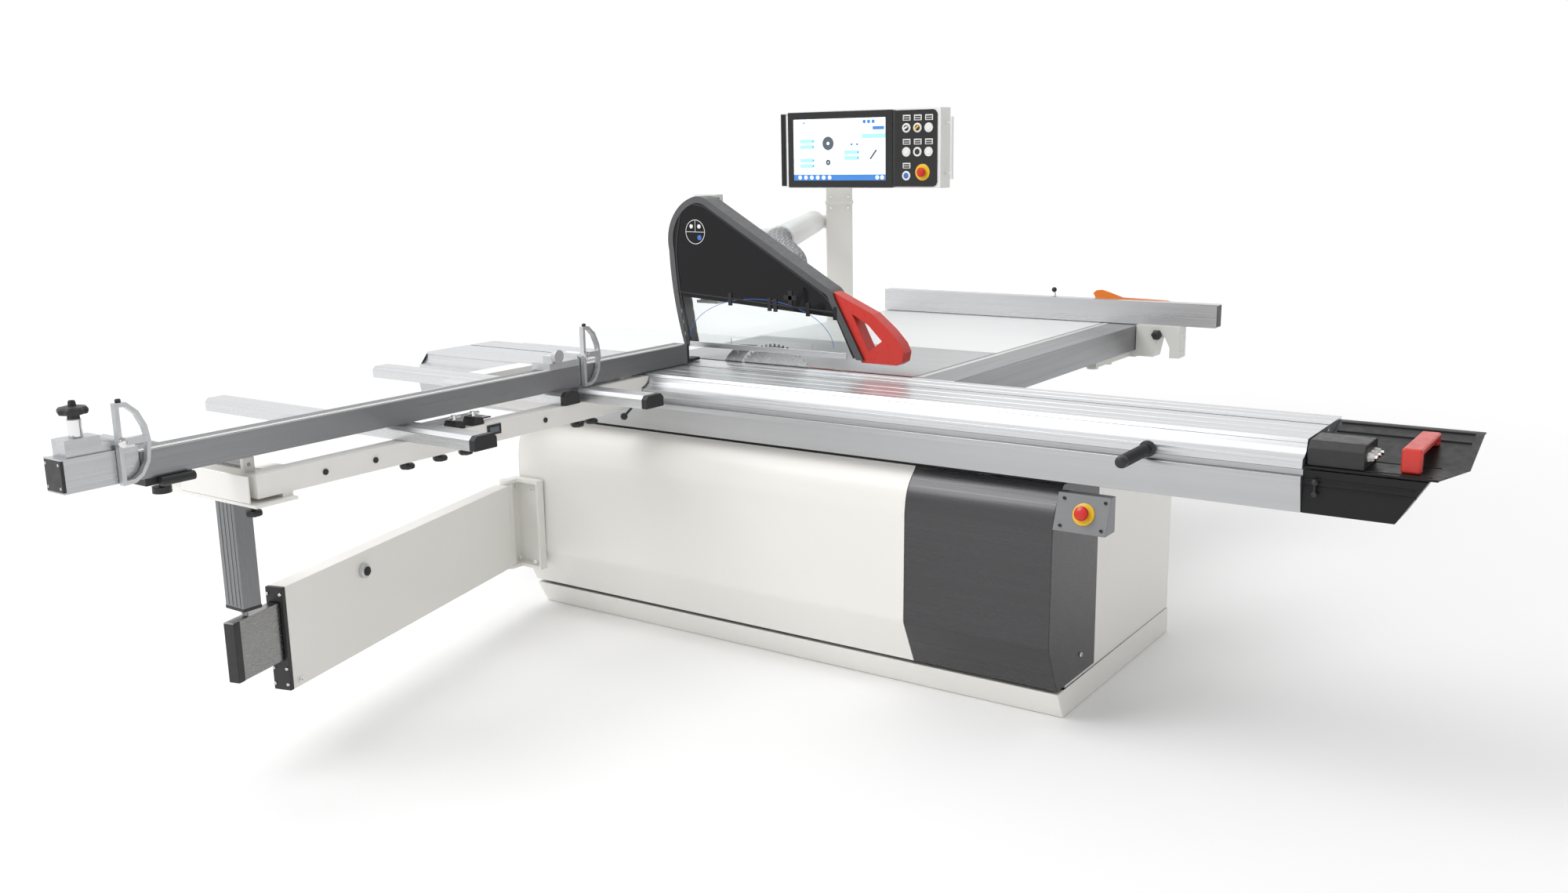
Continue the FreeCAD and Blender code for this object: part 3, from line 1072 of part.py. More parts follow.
# ---------------------------------------------------------------- guard and extraction
def build_guard():
    S.add(guard_near=-32, guard_far=42, guard_band=22, guard_low=945, guard_left=-369)
    S.add(guard_side=-427, guard_side_z=1281, guard_peak=-309, guard_peak_z=1467)
    S.add(guard_bend=246, guard_bend_z=1166, guard_front=369, pane=3, pane_inset=2)
    S.add(shade_left_z=1124, shade_right_z=1082)
    low = float(S.guard_low)

    def outline(extra):
        """Closed face in the XZ plane: swept back edge, round crown, long slope, front edge."""
        points = {
            "foot": Vector(float(S.guard_left), 0, low - extra),
            "side": Vector(float(S.guard_side), 0, float(S.guard_side_z)),
            "peak": Vector(float(S.guard_peak), 0, float(S.guard_peak_z)),
            "brow": Vector(float(S.guard_peak) + 62, 0, float(S.guard_peak_z) - 16),
            "bend": Vector(float(S.guard_bend) - 22, 0, float(S.guard_bend_z) + 14),
            "knee": Vector(float(S.guard_bend) + 14, 0, float(S.guard_bend_z) - 26),
            "toe": Vector(float(S.guard_front) + extra * 0.5, 0, low - extra),
        }
        edges = [
            Part.Arc(points["foot"], Vector(float(S.guard_left) - 42, 0, low + 175),
                     points["side"]).toShape(),
            Part.Arc(points["side"], Vector(float(S.guard_side) + 28, 0,
                                            float(S.guard_side_z) + 128),
                     points["peak"]).toShape(),
            Part.Arc(points["peak"], Vector(float(S.guard_peak) + 33, 0,
                                            float(S.guard_peak_z) - 3),
                     points["brow"]).toShape(),
            Part.LineSegment(points["brow"], points["bend"]).toShape(),
            Part.Arc(points["bend"], Vector(float(S.guard_bend) + 1, 0,
                                            float(S.guard_bend_z) - 2),
                     points["knee"]).toShape(),
            Part.LineSegment(points["knee"], points["toe"]).toShape(),
            Part.LineSegment(points["toe"], points["foot"]).toShape(),
        ]
        return Part.Face(Part.Wire(edges))


    def slab(face, near, far):
        moved = face.copy()
        moved.translate(Vector(0, near, 0))
        return moved.extrude(Vector(0, far - near, 0))

    outer = outline(0)
    hollow_face = outline(60).makeOffset2D(-float(S.guard_band))
    near = float(S.guard_near)
    far = float(S.guard_far)
    hollow = slab(hollow_face, near - 1, far + 1)
    band = slab(outer, near, far).cut(hollow)
    half = float(S.guide_pitch) / 2 + float(S.guide_radius) + 6
    block_low, block_high = 1180, 1280
    slider = Part.makeBox(2 * half, float(S.carrier_y) - 1 - far, block_high - block_low,
                          Vector(float(S.carrier_x) - half, far, block_low))
    for sign in (-1, 1):
        slider = slider.cut(Part.makeCylinder(
            float(S.guide_radius + S.running_gap), 200,
            Vector(float(S.carrier_x) + sign * float(S.guide_pitch) / 2, float(S.guide_y), 1130),
        ))
    bridge = Part.makeBox(40, far - 20, 100, Vector(float(S.carrier_x) - 20, 20, block_low))
    spar = Part.makeBox(470, 12, 26, Vector(float(S.guard_side) + 14, 22, block_low + 30))
    spar = spar.common(slab(outline(0), near, far))
    node("guard_frame", feature("guard_band", band.fuse([slider, bridge, spar])))
    inset = float(S.pane_inset)
    pane = float(S.pane)
    clear_bound = slab(outer, near - 2, far + 2)
    shade = Part.Face(Part.makePolygon([
        Vector(-600, 0, float(S.shade_left_z) + 12), Vector(500, 0, float(S.shade_right_z) - 18),
        Vector(500, 0, 1700), Vector(-600, 0, 1700),
        Vector(-600, 0, float(S.shade_left_z) + 12),
    ]))
    upper = slab(shade, near - 2, far + 2)
    panes = []
    for start in (near + inset, far - inset - pane):
        sheet_part = slab(hollow_face, start, start + pane).common(clear_bound)
        panes.append(sheet_part)
    smoked = [sheet_part.common(upper) for sheet_part in panes]
    S.add(relief_left=-215, relief_right=125, relief_top=975)
    relief = Part.makeBox(float(S.relief_right - S.relief_left), 40,
                          float(S.relief_top) - low + 1,
                          Vector(float(S.relief_left), far - 20, low - 1))
    clear = [panes[0].cut(upper), panes[1].cut(upper).cut(relief)]
    spigot_centre = Vector(-60, far - inset, 1225)
    spigot = Part.makeCylinder(50, 46, spigot_centre, Vector(0, 1, 0))
    spigot = spigot.cut(Part.makeCylinder(47, 60, spigot_centre - Vector(0, 6, 0),
                                          Vector(0, 1, 0)))
    hole = Part.makeCylinder(47, 20, spigot_centre - Vector(0, 10, 0), Vector(0, 1, 0))
    bridge_hole = Part.makeBox(40.6, 40, 100.6,
                               Vector(float(S.carrier_x) - 20.3, 20, block_low - 0.3))
    back_pane = smoked[1].cut(hole).cut(bridge_hole).fuse(spigot)
    node("guard_smoked_panel", feature("smoked_panes", Part.makeCompound([smoked[0], back_pane])))
    node("guard_clear_panel", feature("clear_panes", Part.makeCompound(clear)))
    rim = [
        Vector(float(S.guard_bend) - 6, 0, float(S.guard_bend_z)), Vector(398, 0, 1097),
        Vector(462, 0, 1046), Vector(500, 0, 1006), Vector(514, 0, 978), Vector(508, 0, 948),
        Vector(488, 0, 936), Vector(float(S.guard_front) - 12, 0, 936),
    ]
    blank = slab(Part.Face(Part.makePolygon(rim + rim[:1])), -22, 30)
    window = [Vector(321, 0, 1093), Vector(382, 0, 1060), Vector(433, 0, 1011),
              Vector(383, 0, 974)]
    window_cut = slab(Part.Face(Part.makePolygon(window + window[:1])), -30, 40)
    handle = blank.cut(slab(outer, near - 1, far + 1)).cut(window_cut)
    handle = max(handle.Solids, key=lambda solid: solid.Volume)
    node("guard_handle", feature("guard_grip", handle))
    hose_start = Vector(float(S.elbow_x), float(S.elbow_y), float(S.duct_level))
    turn = math.radians(float(S.column_turn))
    origin = Vector(float(S.column_x), float(S.column_y), float(S.duct_level)) + Vector(
        -math.cos(turn), -math.sin(turn), 0) * float(S.duct_offset)
    exit_way = (hose_start - origin).normalize()
    spigot_mouth = spigot_centre + Vector(0, 46, 0)
    corner_one = hose_start + exit_way * 150
    corner_two = spigot_mouth + Vector(0, 150, 0)
    hose = round_path([hose_start, corner_one, corner_two, spigot_mouth], float(S.hose_radius))
    node("extraction_hose", feature("hose_tube", hose))


def round_path(points, radius):
    """A solid round bar along straight runs joined by tangent arcs."""
    edges = []
    start = points[0]
    for index in range(1, len(points) - 1):
        corner = points[index]
        before = (points[index - 1] - corner).normalize()
        after = (points[index + 1] - corner).normalize()
        run = min((points[index - 1] - corner).Length, (points[index + 1] - corner).Length)
        turn = math.pi - before.getAngle(after)
        bend = 0.45 * run / math.tan(turn / 2)
        back_off = 0.45 * run
        first = corner + before * back_off
        last = corner + after * back_off
        centre = corner + (before + after).normalize() * (bend / math.cos(turn / 2))
        middle = centre + (corner - centre).normalize() * bend
        edges.append(Part.LineSegment(start, first).toShape())
        edges.append(Part.Arc(first, middle, last).toShape())
        start = last
    edges.append(Part.LineSegment(start, points[-1]).toShape())
    path = Part.Wire(edges)
    section = Part.Wire([Part.makeCircle(radius, points[0], points[1] - points[0])])
    solid = path.makePipeShell([section], True, False)
    expected = math.pi * radius * radius * path.Length
    print(f"hose length {path.Length:.0f}, volume ratio {solid.Volume / expected:.4f}")
    return solid


# ---------------------------------------------------------------- saw unit
def build_saw_unit():
    S.add(end_plate_x=288, end_plate_wall=12, frame_front=12, frame_rear=200)
    S.add(frame_up=780, frame_down=470, shoe_inner=400, shoe_start=5, shoe_sweep=24)
    S.add(guide_x=150, lift_guide_y=82, lift_rod=12, rods_low=440, rods_high=690)
    S.add(low_beam=30, top_beam=12, block_low=540, block_high=640, block_half=190)
    S.add(block_front=62, block_back=102, housing_radius=38, housing_front=14)
    S.add(housing_back=150, web_half=30, knife_holder_left=-250, knife_holder_right=-185)
    pieces = []
    for side, tag in ((-1, "left"), (1, "right")):
        near = side * S.end_plate_x
        wall = S.end_plate_wall
        span = (near - wall, near) if side < 0 else (near, near + wall)
        pieces.append(prism(f"tilt_plate_{tag}", "x", [
            (S.frame_front, S.frame_up), (S.frame_rear, S.frame_up),
            (S.frame_rear, S.frame_down + 40), (S.frame_rear - 40, S.frame_down + 30),
            (S.frame_front + 30, S.frame_down + 10), (S.frame_front, S.frame_down + 40),
        ], span))
        pieces.append(ring_sector(
            f"tilt_shoe_{tag}", S.shoe_inner, S.track_inner - S.seat_gap, S.shoe_start,
            S.shoe_sweep, (0, S.table_top), span,
        ))
        inner = (near, near + 230) if side < 0 else (near - 230, near)
        pieces.append(box(f"top_beam_{tag}", inner, (70, 95),
                          (S.rods_high, S.rods_high + S.top_beam)))
        pieces.append(rod(f"lift_rod_{tag}", S.lift_rod, "z",
                          (side * S.guide_x, S.lift_guide_y), (S.rods_low, S.rods_high)))
    pieces.append(box("low_cross_beam", (-S.end_plate_x, S.end_plate_x), (45, 115),
                      (S.rods_low, S.rods_low + S.low_beam)))
    for side, tag in ((-1, "left"), (1, "right")):
        near = side * S.end_plate_x
        wall = S.end_plate_wall
        span = (near, near + wall) if side < 0 else (near - wall, near)
        pieces.append(box(f"beam_hanger_{tag}", span, (45, 115),
                          (S.rods_low, S.frame_down + 40)))
    S.add(scoring_radius=60, scoring_x=250, scoring_rise=3, scoring_shaft=8, scoring_case=26)
    scoring_z = S.table_top + S.scoring_rise - S.scoring_radius
    case = rod("scoring_case_rod", S.scoring_case, "y", (S.scoring_x, scoring_z), (8, 110))
    case_arm = box("scoring_arm", (S.scoring_x + 10, S.end_plate_x), (20, 60),
                   (S.frame_up - 40, scoring_z))
    case_bore = rod("scoring_bore", S.scoring_shaft + S.running_gap, "y",
                    (S.scoring_x, scoring_z), (7, 80))
    frame = cut("tilt_frame_bored", fuse("tilt_frame_whole", *pieces, case, case_arm), case_bore)
    node("tilt_frame", frame)
    disc = rod("scoring_disc", S.scoring_radius, "y", (S.scoring_x, scoring_z),
               (-S.blade_plate / 2, S.blade_plate / 2))
    shaft = rod("scoring_shaft_rod", S.scoring_shaft, "y", (S.scoring_x, scoring_z), (-10, 78))
    nut = rod("scoring_nut", 14, "y", (S.scoring_x, scoring_z), (-10, 5))
    node("scoring_blade", fuse("scoring_whole", disc, shaft, nut))

    block = box("lift_block", (-S.block_half, S.block_half), (S.block_front, S.block_back),
                (S.block_low, S.block_high))
    web = box("lift_web", (-S.web_half, S.web_half), (S.block_front, S.block_back),
              (S.block_high, arbor_z))
    housing = rod("arbor_housing", S.housing_radius, "y", (0, arbor_z),
                  (S.housing_front, S.housing_back))
    holder = box("knife_holder", (S.knife_holder_left, S.knife_holder_right),
                 (S.blade_plate / 2, S.block_back), (S.block_high - 30, S.block_high))
    S.add(motor_z=600, motor_radius=75, motor_front=200, motor_back=400, pulley=45)
    S.add(pulley_front=160, pulley_back=188, belt_thick=4, motor_shaft=14)
    cradle = box("motor_cradle", (-60, 60), (S.block_back, S.motor_front),
                 (S.block_low, S.block_low + 8))
    flange = box("motor_flange", (-70, 70), (S.motor_front - 10, S.motor_front),
                 (S.block_low, S.block_high + 10))
    flange_hole = rod("flange_hole", S.motor_shaft + 3, "y", (0, S.motor_z),
                      (S.motor_front - 12, S.motor_front + 2))
    bores = [
        rod(f"lift_bore_{tag}", S.lift_rod + S.running_gap, "z",
            (side * S.guide_x, S.lift_guide_y), (S.block_low - 1, S.block_high + 1))
        for side, tag in ((-1, "left"), (1, "right"))
    ]
    arbor_bore = rod("arbor_bore", S.blade_bore + S.running_gap, "y", (0, arbor_z),
                     (S.housing_front - 1, S.housing_back + 1))
    carriage = fuse("lift_whole", block, web, housing, holder, cradle, flange)
    node("lift_carriage", cut("lift_bored", carriage, *bores, arbor_bore, flange_hole))
    motor = rod("motor_case", S.motor_radius, "y", (0, S.motor_z),
                (S.motor_front, S.motor_back))
    motor_shaft = rod("motor_shaft_rod", S.motor_shaft, "y", (0, S.motor_z),
                      (S.pulley_front, S.motor_front))
    motor_pulley = rod("motor_pulley_disc", S.pulley, "y", (0, S.motor_z),
                       (S.pulley_front, S.pulley_back))
    node("saw_motor", fuse("motor_whole", motor, motor_shaft, motor_pulley))

    def stadium(name, radius, span):
        discs = [rod(f"{name}_{tag}", radius, "y", (0, z), span)
                 for z, tag in ((arbor_z, "top"), (S.motor_z, "low"))]
        middle = box(f"{name}_middle", (-radius, radius), span, (S.motor_z, arbor_z))
        return fuse(name, *discs, middle)

    belt_in = S.pulley + S.seat_gap
    belt = cut("belt_loop",
               stadium("belt_outer", belt_in + S.belt_thick,
                       (S.pulley_front + 4, S.pulley_back - 4)),
               stadium("belt_inner", belt_in, (S.pulley_front, S.pulley_back)))
    node("drive_belt", belt)

    S.add(flange_radius=40, flange_in=10, flange_out=8, nut_radius=20, nut_end=18)
    half = S.blade_plate / 2
    shaft = rod("arbor_shaft", S.blade_bore, "y", (0, arbor_z), (-S.nut_end, S.pulley_back))
    collars = [
        rod("inner_flange", S.flange_radius, "y", (0, arbor_z), (half, S.flange_in)),
        rod("outer_flange", S.flange_radius, "y", (0, arbor_z), (-S.flange_out, -half)),
        rod("arbor_nut", S.nut_radius, "y", (0, arbor_z), (-S.nut_end, -S.flange_out)),
        rod("arbor_pulley", S.pulley, "y", (0, arbor_z), (S.pulley_front, S.pulley_back)),
    ]
    node("saw_arbor", fuse("arbor_whole", shaft, *collars))
    S.add(tooth_count=60, gullet=9)
    teeth = int(float(S.tooth_count))
    outer = float(S.blade_radius)
    root = outer - float(S.gullet)
    rim = []
    for index in range(teeth):
        start = 2 * math.pi * index / teeth
        for share, size in ((0.0, outer), (0.35, outer - 1), (0.45, root), (0.85, root)):
            angle = start + share * 2 * math.pi / teeth
            rim.append(Vector(size * math.cos(angle), 0, size * math.sin(angle)))
    wire = Part.makePolygon(rim + rim[:1])
    disc = Part.Face(wire).extrude(Vector(0, float(S.blade_plate), 0))
    bore = Part.makeCylinder(float(S.blade_bore), 20, Vector(0, -10, 0), Vector(0, 1, 0))
    blade = feature("toothed_disc", disc.cut(bore))
    blade.Placement = FreeCAD.Placement(
        Vector(0, -float(S.blade_plate) / 2, float(arbor_z)), FreeCAD.Rotation(),
    )
    node("saw_blade", blade)
    S.add(knife_gap=6, knife_outer=245, knife_plate=2.8, knife_low=612, knife_tip=220)
    centre = Vector(0, 0, float(arbor_z))

    def around(size, angle):
        turn_angle = math.radians(angle)
        return centre + Vector(size * math.cos(turn_angle), 0, size * math.sin(turn_angle))

    inner = float(S.blade_radius + S.knife_gap)
    rim_out = float(S.knife_outer)
    low = float(S.knife_low)
    foot_in = Vector(float(S.knife_holder_right) - 2, 0, low)
    foot_out = Vector(float(S.knife_holder_left) + 2, 0, low)
    edges = [
        Part.Arc(around(inner, 185), around(inner, 150), around(inner, 113)).toShape(),
        Part.LineSegment(around(inner, 113), around(float(S.knife_tip), 132)).toShape(),
        Part.Arc(around(float(S.knife_tip), 132), around(rim_out - 8, 150),
                 around(rim_out, 178)).toShape(),
        Part.LineSegment(around(rim_out, 178), foot_out).toShape(),
        Part.LineSegment(foot_out, foot_in).toShape(),
        Part.LineSegment(foot_in, around(inner, 185)).toShape(),
    ]
    plate = Part.Face(Part.Wire(edges)).extrude(Vector(0, float(S.knife_plate), 0))
    plate.translate(Vector(0, float(S.blade_plate) / 2 - float(S.knife_plate), 0))
    node("riving_knife", feature("knife_plate_body", plate))


# ---------------------------------------------------------------- control console
def build_console():
    S.add(console_left=-852, console_right=-92, console_front=1343, console_back=1428)
    S.add(console_low=1452, console_high=1780, strip_left=-898, strip_inset=8)
    S.add(console_grip_x=-62, console_grip=7, grip_low=1488, grip_high=1742)
    shell = box("console_box", (S.console_left, S.console_right),
                (S.console_front, S.console_back), (S.console_low, S.console_high))
    strip = box("console_strip", (S.strip_left, S.console_left),
                (S.console_front + S.strip_inset, S.console_back - S.strip_inset),
                (S.console_low + 4, S.console_high - 4))
    handle = rod("console_bar", S.console_grip, "z", (S.console_grip_x, 1385),
                 (S.grip_low, S.grip_high))
    stands = [
        rod(f"console_stand_{index}", 5, "x", (1385, z), (S.console_right, S.console_grip_x))
        for index, z in enumerate((S.grip_low + 25, S.grip_high - 25))
    ]
    inner_low = S.swivel_low + S.lug_height + S.seat_gap
    inner_high = S.swivel_high - S.lug_height - S.seat_gap
    knuckle = rod("console_knuckle", S.lug_radius - 4, "z", (S.swivel_x, S.swivel_y),
                  (inner_low, inner_high))
    neck = box("console_neck", (S.swivel_x - 16, S.swivel_x + 16),
               (S.console_back, S.swivel_y), (inner_low, inner_high))
    bore = rod("console_bore", S.swivel_pin + S.running_gap, "z", (S.swivel_x, S.swivel_y),
               (inner_low - 1, inner_high + 1))
    S.add(console_key_x=-250, key_pitch=53, key_top=1700, key_row=98, key_radius=11)
    S.add(console_stop_x=-174, console_stop_z=1518, stop_cap=19, stop_stem=9)
    stop_bore = rod("console_stop_bore", S.stop_stem + S.seat_gap, "y",
                    (S.console_stop_x, S.console_stop_z),
                    (S.console_front - 1, S.console_front + 12))
    whole = fuse("console_fused", shell, strip, handle, *stands, knuckle, neck)
    node("console_shell", cut("console_cut", whole, bore, stop_bore))
    keys = []
    for row in range(3):
        for column in range(3):
            if row == 2 and column > 0:
                continue
            keys.append(rod(
                f"key_{row}_{column}", S.key_radius, "y",
                (S.console_key_x + column * S.key_pitch, S.key_top - row * S.key_row),
                (S.console_front - 6, S.console_front),
            ))
    node("console_keys", group("key_group", *keys))
    stem = rod("console_stop_stem", S.stop_stem, "y", (S.console_stop_x, S.console_stop_z),
               (S.console_front - 12, S.console_front + 5))
    cap = rod("console_stop_cap", S.stop_cap, "y", (S.console_stop_x, S.console_stop_z),
              (S.console_front - 26, S.console_front - 12))
    node("console_estop", fuse("console_stop_whole", stem, cap))


def build_stop_lever():
    S.add(stop_x=1882, stop_z=772, stop_ball=9, stop_hub=7, stop_reach=30)
    face = float(S.beam_lip)
    base = Vector(float(S.stop_x), face - float(S.seat_gap), float(S.stop_z))
    hub = Part.makeCylinder(float(S.stop_hub), 16, base, Vector(0, -1, 0))
    middle = base + Vector(0, -12, 0)
    stem = Part.makeCylinder(3, float(S.stop_reach), middle, Vector(0, 0, 1))
    ball = Part.makeSphere(float(S.stop_ball), middle + Vector(0, 0, float(S.stop_reach)))
    node("stop_lever", feature("carriage_stop", hub.fuse([stem, ball])))


BUILD = (
    build_plinth, build_base_frame, build_covers, build_guide_beam, build_tables,
    build_supports, build_column, build_duct, build_estop_panel, build_swing_arm,
    build_carriage, build_crosscut_frame, build_fence, build_rip_fence, build_guard,
    build_saw_unit, build_console, build_stop_lever,
)
for step in BUILD:
    step()
doc.recompute()

for item in doc.Objects:
    if "Invalid" in item.State or "Error" in item.State:
        raise RuntimeError(f"{item.Name} failed: {item.State}")
os.makedirs("parts", exist_ok=True)
for part in NODES:
    shape = part.Shape
    if shape.isNull() or not shape.isValid() or not shape.Solids:
        raise RuntimeError(f"{part.Label} has no valid solid")
    shape.exportStep(f"parts/{part.Label}.step")
print(len(NODES), "nodes written")
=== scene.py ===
"""Looks of a sliding table panel saw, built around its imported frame.

Each sub-assembly is a class that holds its sizes and makes its own pieces. Lengths are in
metres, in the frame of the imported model: +X runs along the sliding table towards the infeed
end, +Y from the crosscut side to the rip side, +Z up, with the origin on the floor.
"""
import json
import logging
import math
from dataclasses import dataclass
from enum import Enum

import bmesh
import bpy
import numpy as np
from mathutils import Matrix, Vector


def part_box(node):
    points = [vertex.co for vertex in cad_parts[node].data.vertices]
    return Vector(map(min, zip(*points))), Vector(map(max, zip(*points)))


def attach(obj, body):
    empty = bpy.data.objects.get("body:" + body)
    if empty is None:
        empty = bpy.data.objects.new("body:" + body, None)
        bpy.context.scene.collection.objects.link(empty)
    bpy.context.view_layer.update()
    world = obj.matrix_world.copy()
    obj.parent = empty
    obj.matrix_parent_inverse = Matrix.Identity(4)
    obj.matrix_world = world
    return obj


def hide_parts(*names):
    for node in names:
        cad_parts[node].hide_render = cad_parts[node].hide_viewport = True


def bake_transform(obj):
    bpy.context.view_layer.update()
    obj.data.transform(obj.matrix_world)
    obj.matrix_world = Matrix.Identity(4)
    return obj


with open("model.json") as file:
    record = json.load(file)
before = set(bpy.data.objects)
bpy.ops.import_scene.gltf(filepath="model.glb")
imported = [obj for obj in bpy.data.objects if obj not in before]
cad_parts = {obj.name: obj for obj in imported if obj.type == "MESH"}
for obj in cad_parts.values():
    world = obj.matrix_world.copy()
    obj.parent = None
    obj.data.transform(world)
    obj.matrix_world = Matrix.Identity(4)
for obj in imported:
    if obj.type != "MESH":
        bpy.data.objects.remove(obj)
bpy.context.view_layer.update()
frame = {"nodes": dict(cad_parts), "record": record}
LOG = logging.getLogger("panel_saw")
Colour = tuple[float, float, float]
Point = tuple[float, float, float]


class Axis(Enum):
    """The three directions that a piece can run along."""

    X = 0
    Y = 1
    Z = 2

    @property
    def vector(self) -> np.ndarray:
        """Unit vector of the axis."""
        return np.eye(3)[self.value]

    @property
    def others(self) -> tuple[int, int]:
        """Indices of the two coordinates across the axis, in X, Y, Z order."""
        across = [index for index in range(3) if index != self.value]
        return across[0], across[1]


# ------------------------------------------------------------------ finishes
class Desk:
    """Makes and wires the nodes of one material."""

    def __init__(self, name: str) -> None:
        """Start an empty material with one principled shader."""
        self.material = bpy.data.materials.new(name)
        self.material.use_nodes = True
        self.nodes = self.material.node_tree.nodes
        self.links = self.material.node_tree.links
        self.nodes.clear()
        self.shader = self.nodes.new("ShaderNodeBsdfPrincipled")
        output = self.nodes.new("ShaderNodeOutputMaterial")
        self.links.new(self.shader.outputs["BSDF"], output.inputs["Surface"])

    def set(self, **sockets: float | tuple) -> None:
        """Set plain values on the shader's own sockets; underscores stand for spaces."""
        for name, value in sockets.items():
            self.shader.inputs[name.replace("_", " ")].default_value = value

    def place(self, stretch: Point) -> bpy.types.NodeSocket:
        """Object coordinates scaled by stretch.

        Args:
            stretch: repeats per metre along X, Y and Z.

        Returns:
            The vector socket of the mapping.
        """
        where = self.nodes.new("ShaderNodeTexCoord")
        mapping = self.nodes.new("ShaderNodeMapping")
        mapping.inputs["Scale"].default_value = stretch
        self.links.new(where.outputs["Object"], mapping.inputs["Vector"])
        return mapping.outputs["Vector"]

    def noise(self, stretch: Point, detail: float = 3.0) -> bpy.types.NodeSocket:
        """Soft noise on object coordinates, from 0 to 1."""
        cloud = self.nodes.new("ShaderNodeTexNoise")
        cloud.inputs["Scale"].default_value = 1.0
        cloud.inputs["Detail"].default_value = detail
        self.links.new(self.place(stretch), cloud.inputs["Vector"])
        return cloud.outputs["Fac"]

    def spread(self, fac: bpy.types.NodeSocket, low: float, high: float) -> bpy.types.NodeSocket:
        """Map a noise value to the span from low to high."""
        span = self.nodes.new("ShaderNodeMapRange")
        span.inputs["From Min"].default_value = 0.3
        span.inputs["From Max"].default_value = 0.7
        span.inputs["To Min"].default_value = low
        span.inputs["To Max"].default_value = high
        self.links.new(fac, span.inputs["Value"])
        return span.outputs["Result"]

    def math(self, kind: str, left: bpy.types.NodeSocket, right: float) -> bpy.types.NodeSocket:
        """One math node of a socket and a number."""
        step = self.nodes.new("ShaderNodeMath")
        step.operation = kind
        self.links.new(left, step.inputs[0])
        step.inputs[1].default_value = right
        return step.outputs["Value"]

    def tint(self, fac: bpy.types.NodeSocket, dark: Colour, light: Colour) -> None:
        """Drive the base colour between two shades."""
        blend = self.nodes.new("ShaderNodeMix")
        blend.data_type = "RGBA"
        blend.inputs["A"].default_value = (*dark, 1.0)
        blend.inputs["B"].default_value = (*light, 1.0)
        self.links.new(fac, blend.inputs["Factor"])
        self.links.new(blend.outputs["Result"], self.shader.inputs["Base Color"])

    def rough(self, fac: bpy.types.NodeSocket, low: float, high: float) -> None:
        """Vary the roughness with a noise."""
        self.links.new(self.spread(fac, low, high), self.shader.inputs["Roughness"])

    def bump(self, height: bpy.types.NodeSocket, depth: float, strength: float = 0.5) -> None:
        """Fine relief of the given depth in metres."""
        relief = self.nodes.new("ShaderNodeBump")
        relief.inputs["Distance"].default_value = depth
        relief.inputs["Strength"].default_value = strength
        self.links.new(height, relief.inputs["Height"])
        self.links.new(relief.outputs["Normal"], self.shader.inputs["Normal"])


def shade(colour: Colour, share: float) -> Colour:
    """A lighter or darker version of a colour."""
    return tuple(min(1.0, part * share) for part in colour)


@dataclass(frozen=True)
class Finish:
    """A surface finish; each kind knows how to dress a material desk."""

    name: str
    colour: Colour

    def material(self) -> bpy.types.Material:
        """The finish's material, made once."""
        made = bpy.data.materials.get(self.name)
        if made is None:
            desk = Desk(self.name)
            self.dress(desk)
            made = desk.material
        return made

    def dress(self, desk: Desk) -> None:
        """Fill in the desk; each kind of finish has its own."""
        raise NotImplementedError


@dataclass(frozen=True)
class PowderCoat(Finish):
    """Baked powder paint with fine orange peel."""

    gloss: float = 0.35
    peel: float = 0.00005

    def dress(self, desk: Desk) -> None:
        """Cloudy shade, uneven gloss and peel of about a millimetre."""
        desk.tint(desk.noise((2, 2, 2), 1.0), shade(self.colour, 0.985), shade(self.colour, 1.01))
        desk.rough(desk.noise((5, 5, 5), 1.0), self.gloss - 0.012, self.gloss + 0.015)
        desk.bump(desk.noise((420, 420, 420), 1.0), self.peel, 0.2)
        desk.set(Coat_Weight=0.12, Coat_Roughness=0.25)


@dataclass(frozen=True)
class DrawnMetal(Finish):
    """Anodised, brushed or ground metal with long streaks along one axis."""

    along: Axis = Axis.X
    gloss: float = 0.3
    metal: float = 0.9
    grain: float = 260.0

    def dress(self, desk: Desk) -> None:
        """Streaks stretched far along the working direction."""
        fine = [self.grain] * 3
        fine[self.along.value] = 1.6
        broad = [38.0] * 3
        broad[self.along.value] = 0.5
        streaks = desk.noise(tuple(fine), 4.0)
        desk.tint(desk.noise(tuple(broad), 2.0), shade(self.colour, 0.93),
                  shade(self.colour, 1.06))
        desk.rough(streaks, self.gloss - 0.07, self.gloss + 0.1)
        desk.bump(streaks, 0.00006, 0.3)
        desk.set(Metallic=self.metal)


@dataclass(frozen=True)
class Casting(Finish):
    """Bead-blasted or cast metal."""

    gloss: float = 0.42
    metal: float = 0.85

    def dress(self, desk: Desk) -> None:
        """Blotchy shade with a sandy skin."""
        desk.tint(desk.noise((25, 25, 25)), shade(self.colour, 0.9), shade(self.colour, 1.06))
        desk.rough(desk.noise((60, 60, 60)), self.gloss - 0.06, self.gloss + 0.08)
        desk.bump(desk.noise((700, 700, 700), 2.0), 0.00015, 0.5)
        desk.set(Metallic=self.metal)


@dataclass(frozen=True)
class Moulding(Finish):
    """Injection-moulded plastic with a leathery or smooth grain."""

    gloss: float = 0.45
    grain: float = 0.0001
    shine: float = 0.5

    def dress(self, desk: Desk) -> None:
        """Even colour, spark-eroded grain and slight gloss changes."""
        desk.set(Specular_IOR_Level=self.shine)
        desk.tint(desk.noise((9, 9, 9)), shade(self.colour, 0.93), shade(self.colour, 1.07))
        desk.rough(desk.noise((45, 45, 45)), self.gloss - 0.06, self.gloss + 0.06)
        desk.bump(desk.noise((1100, 1100, 1100), 2.0), self.grain, 0.4)


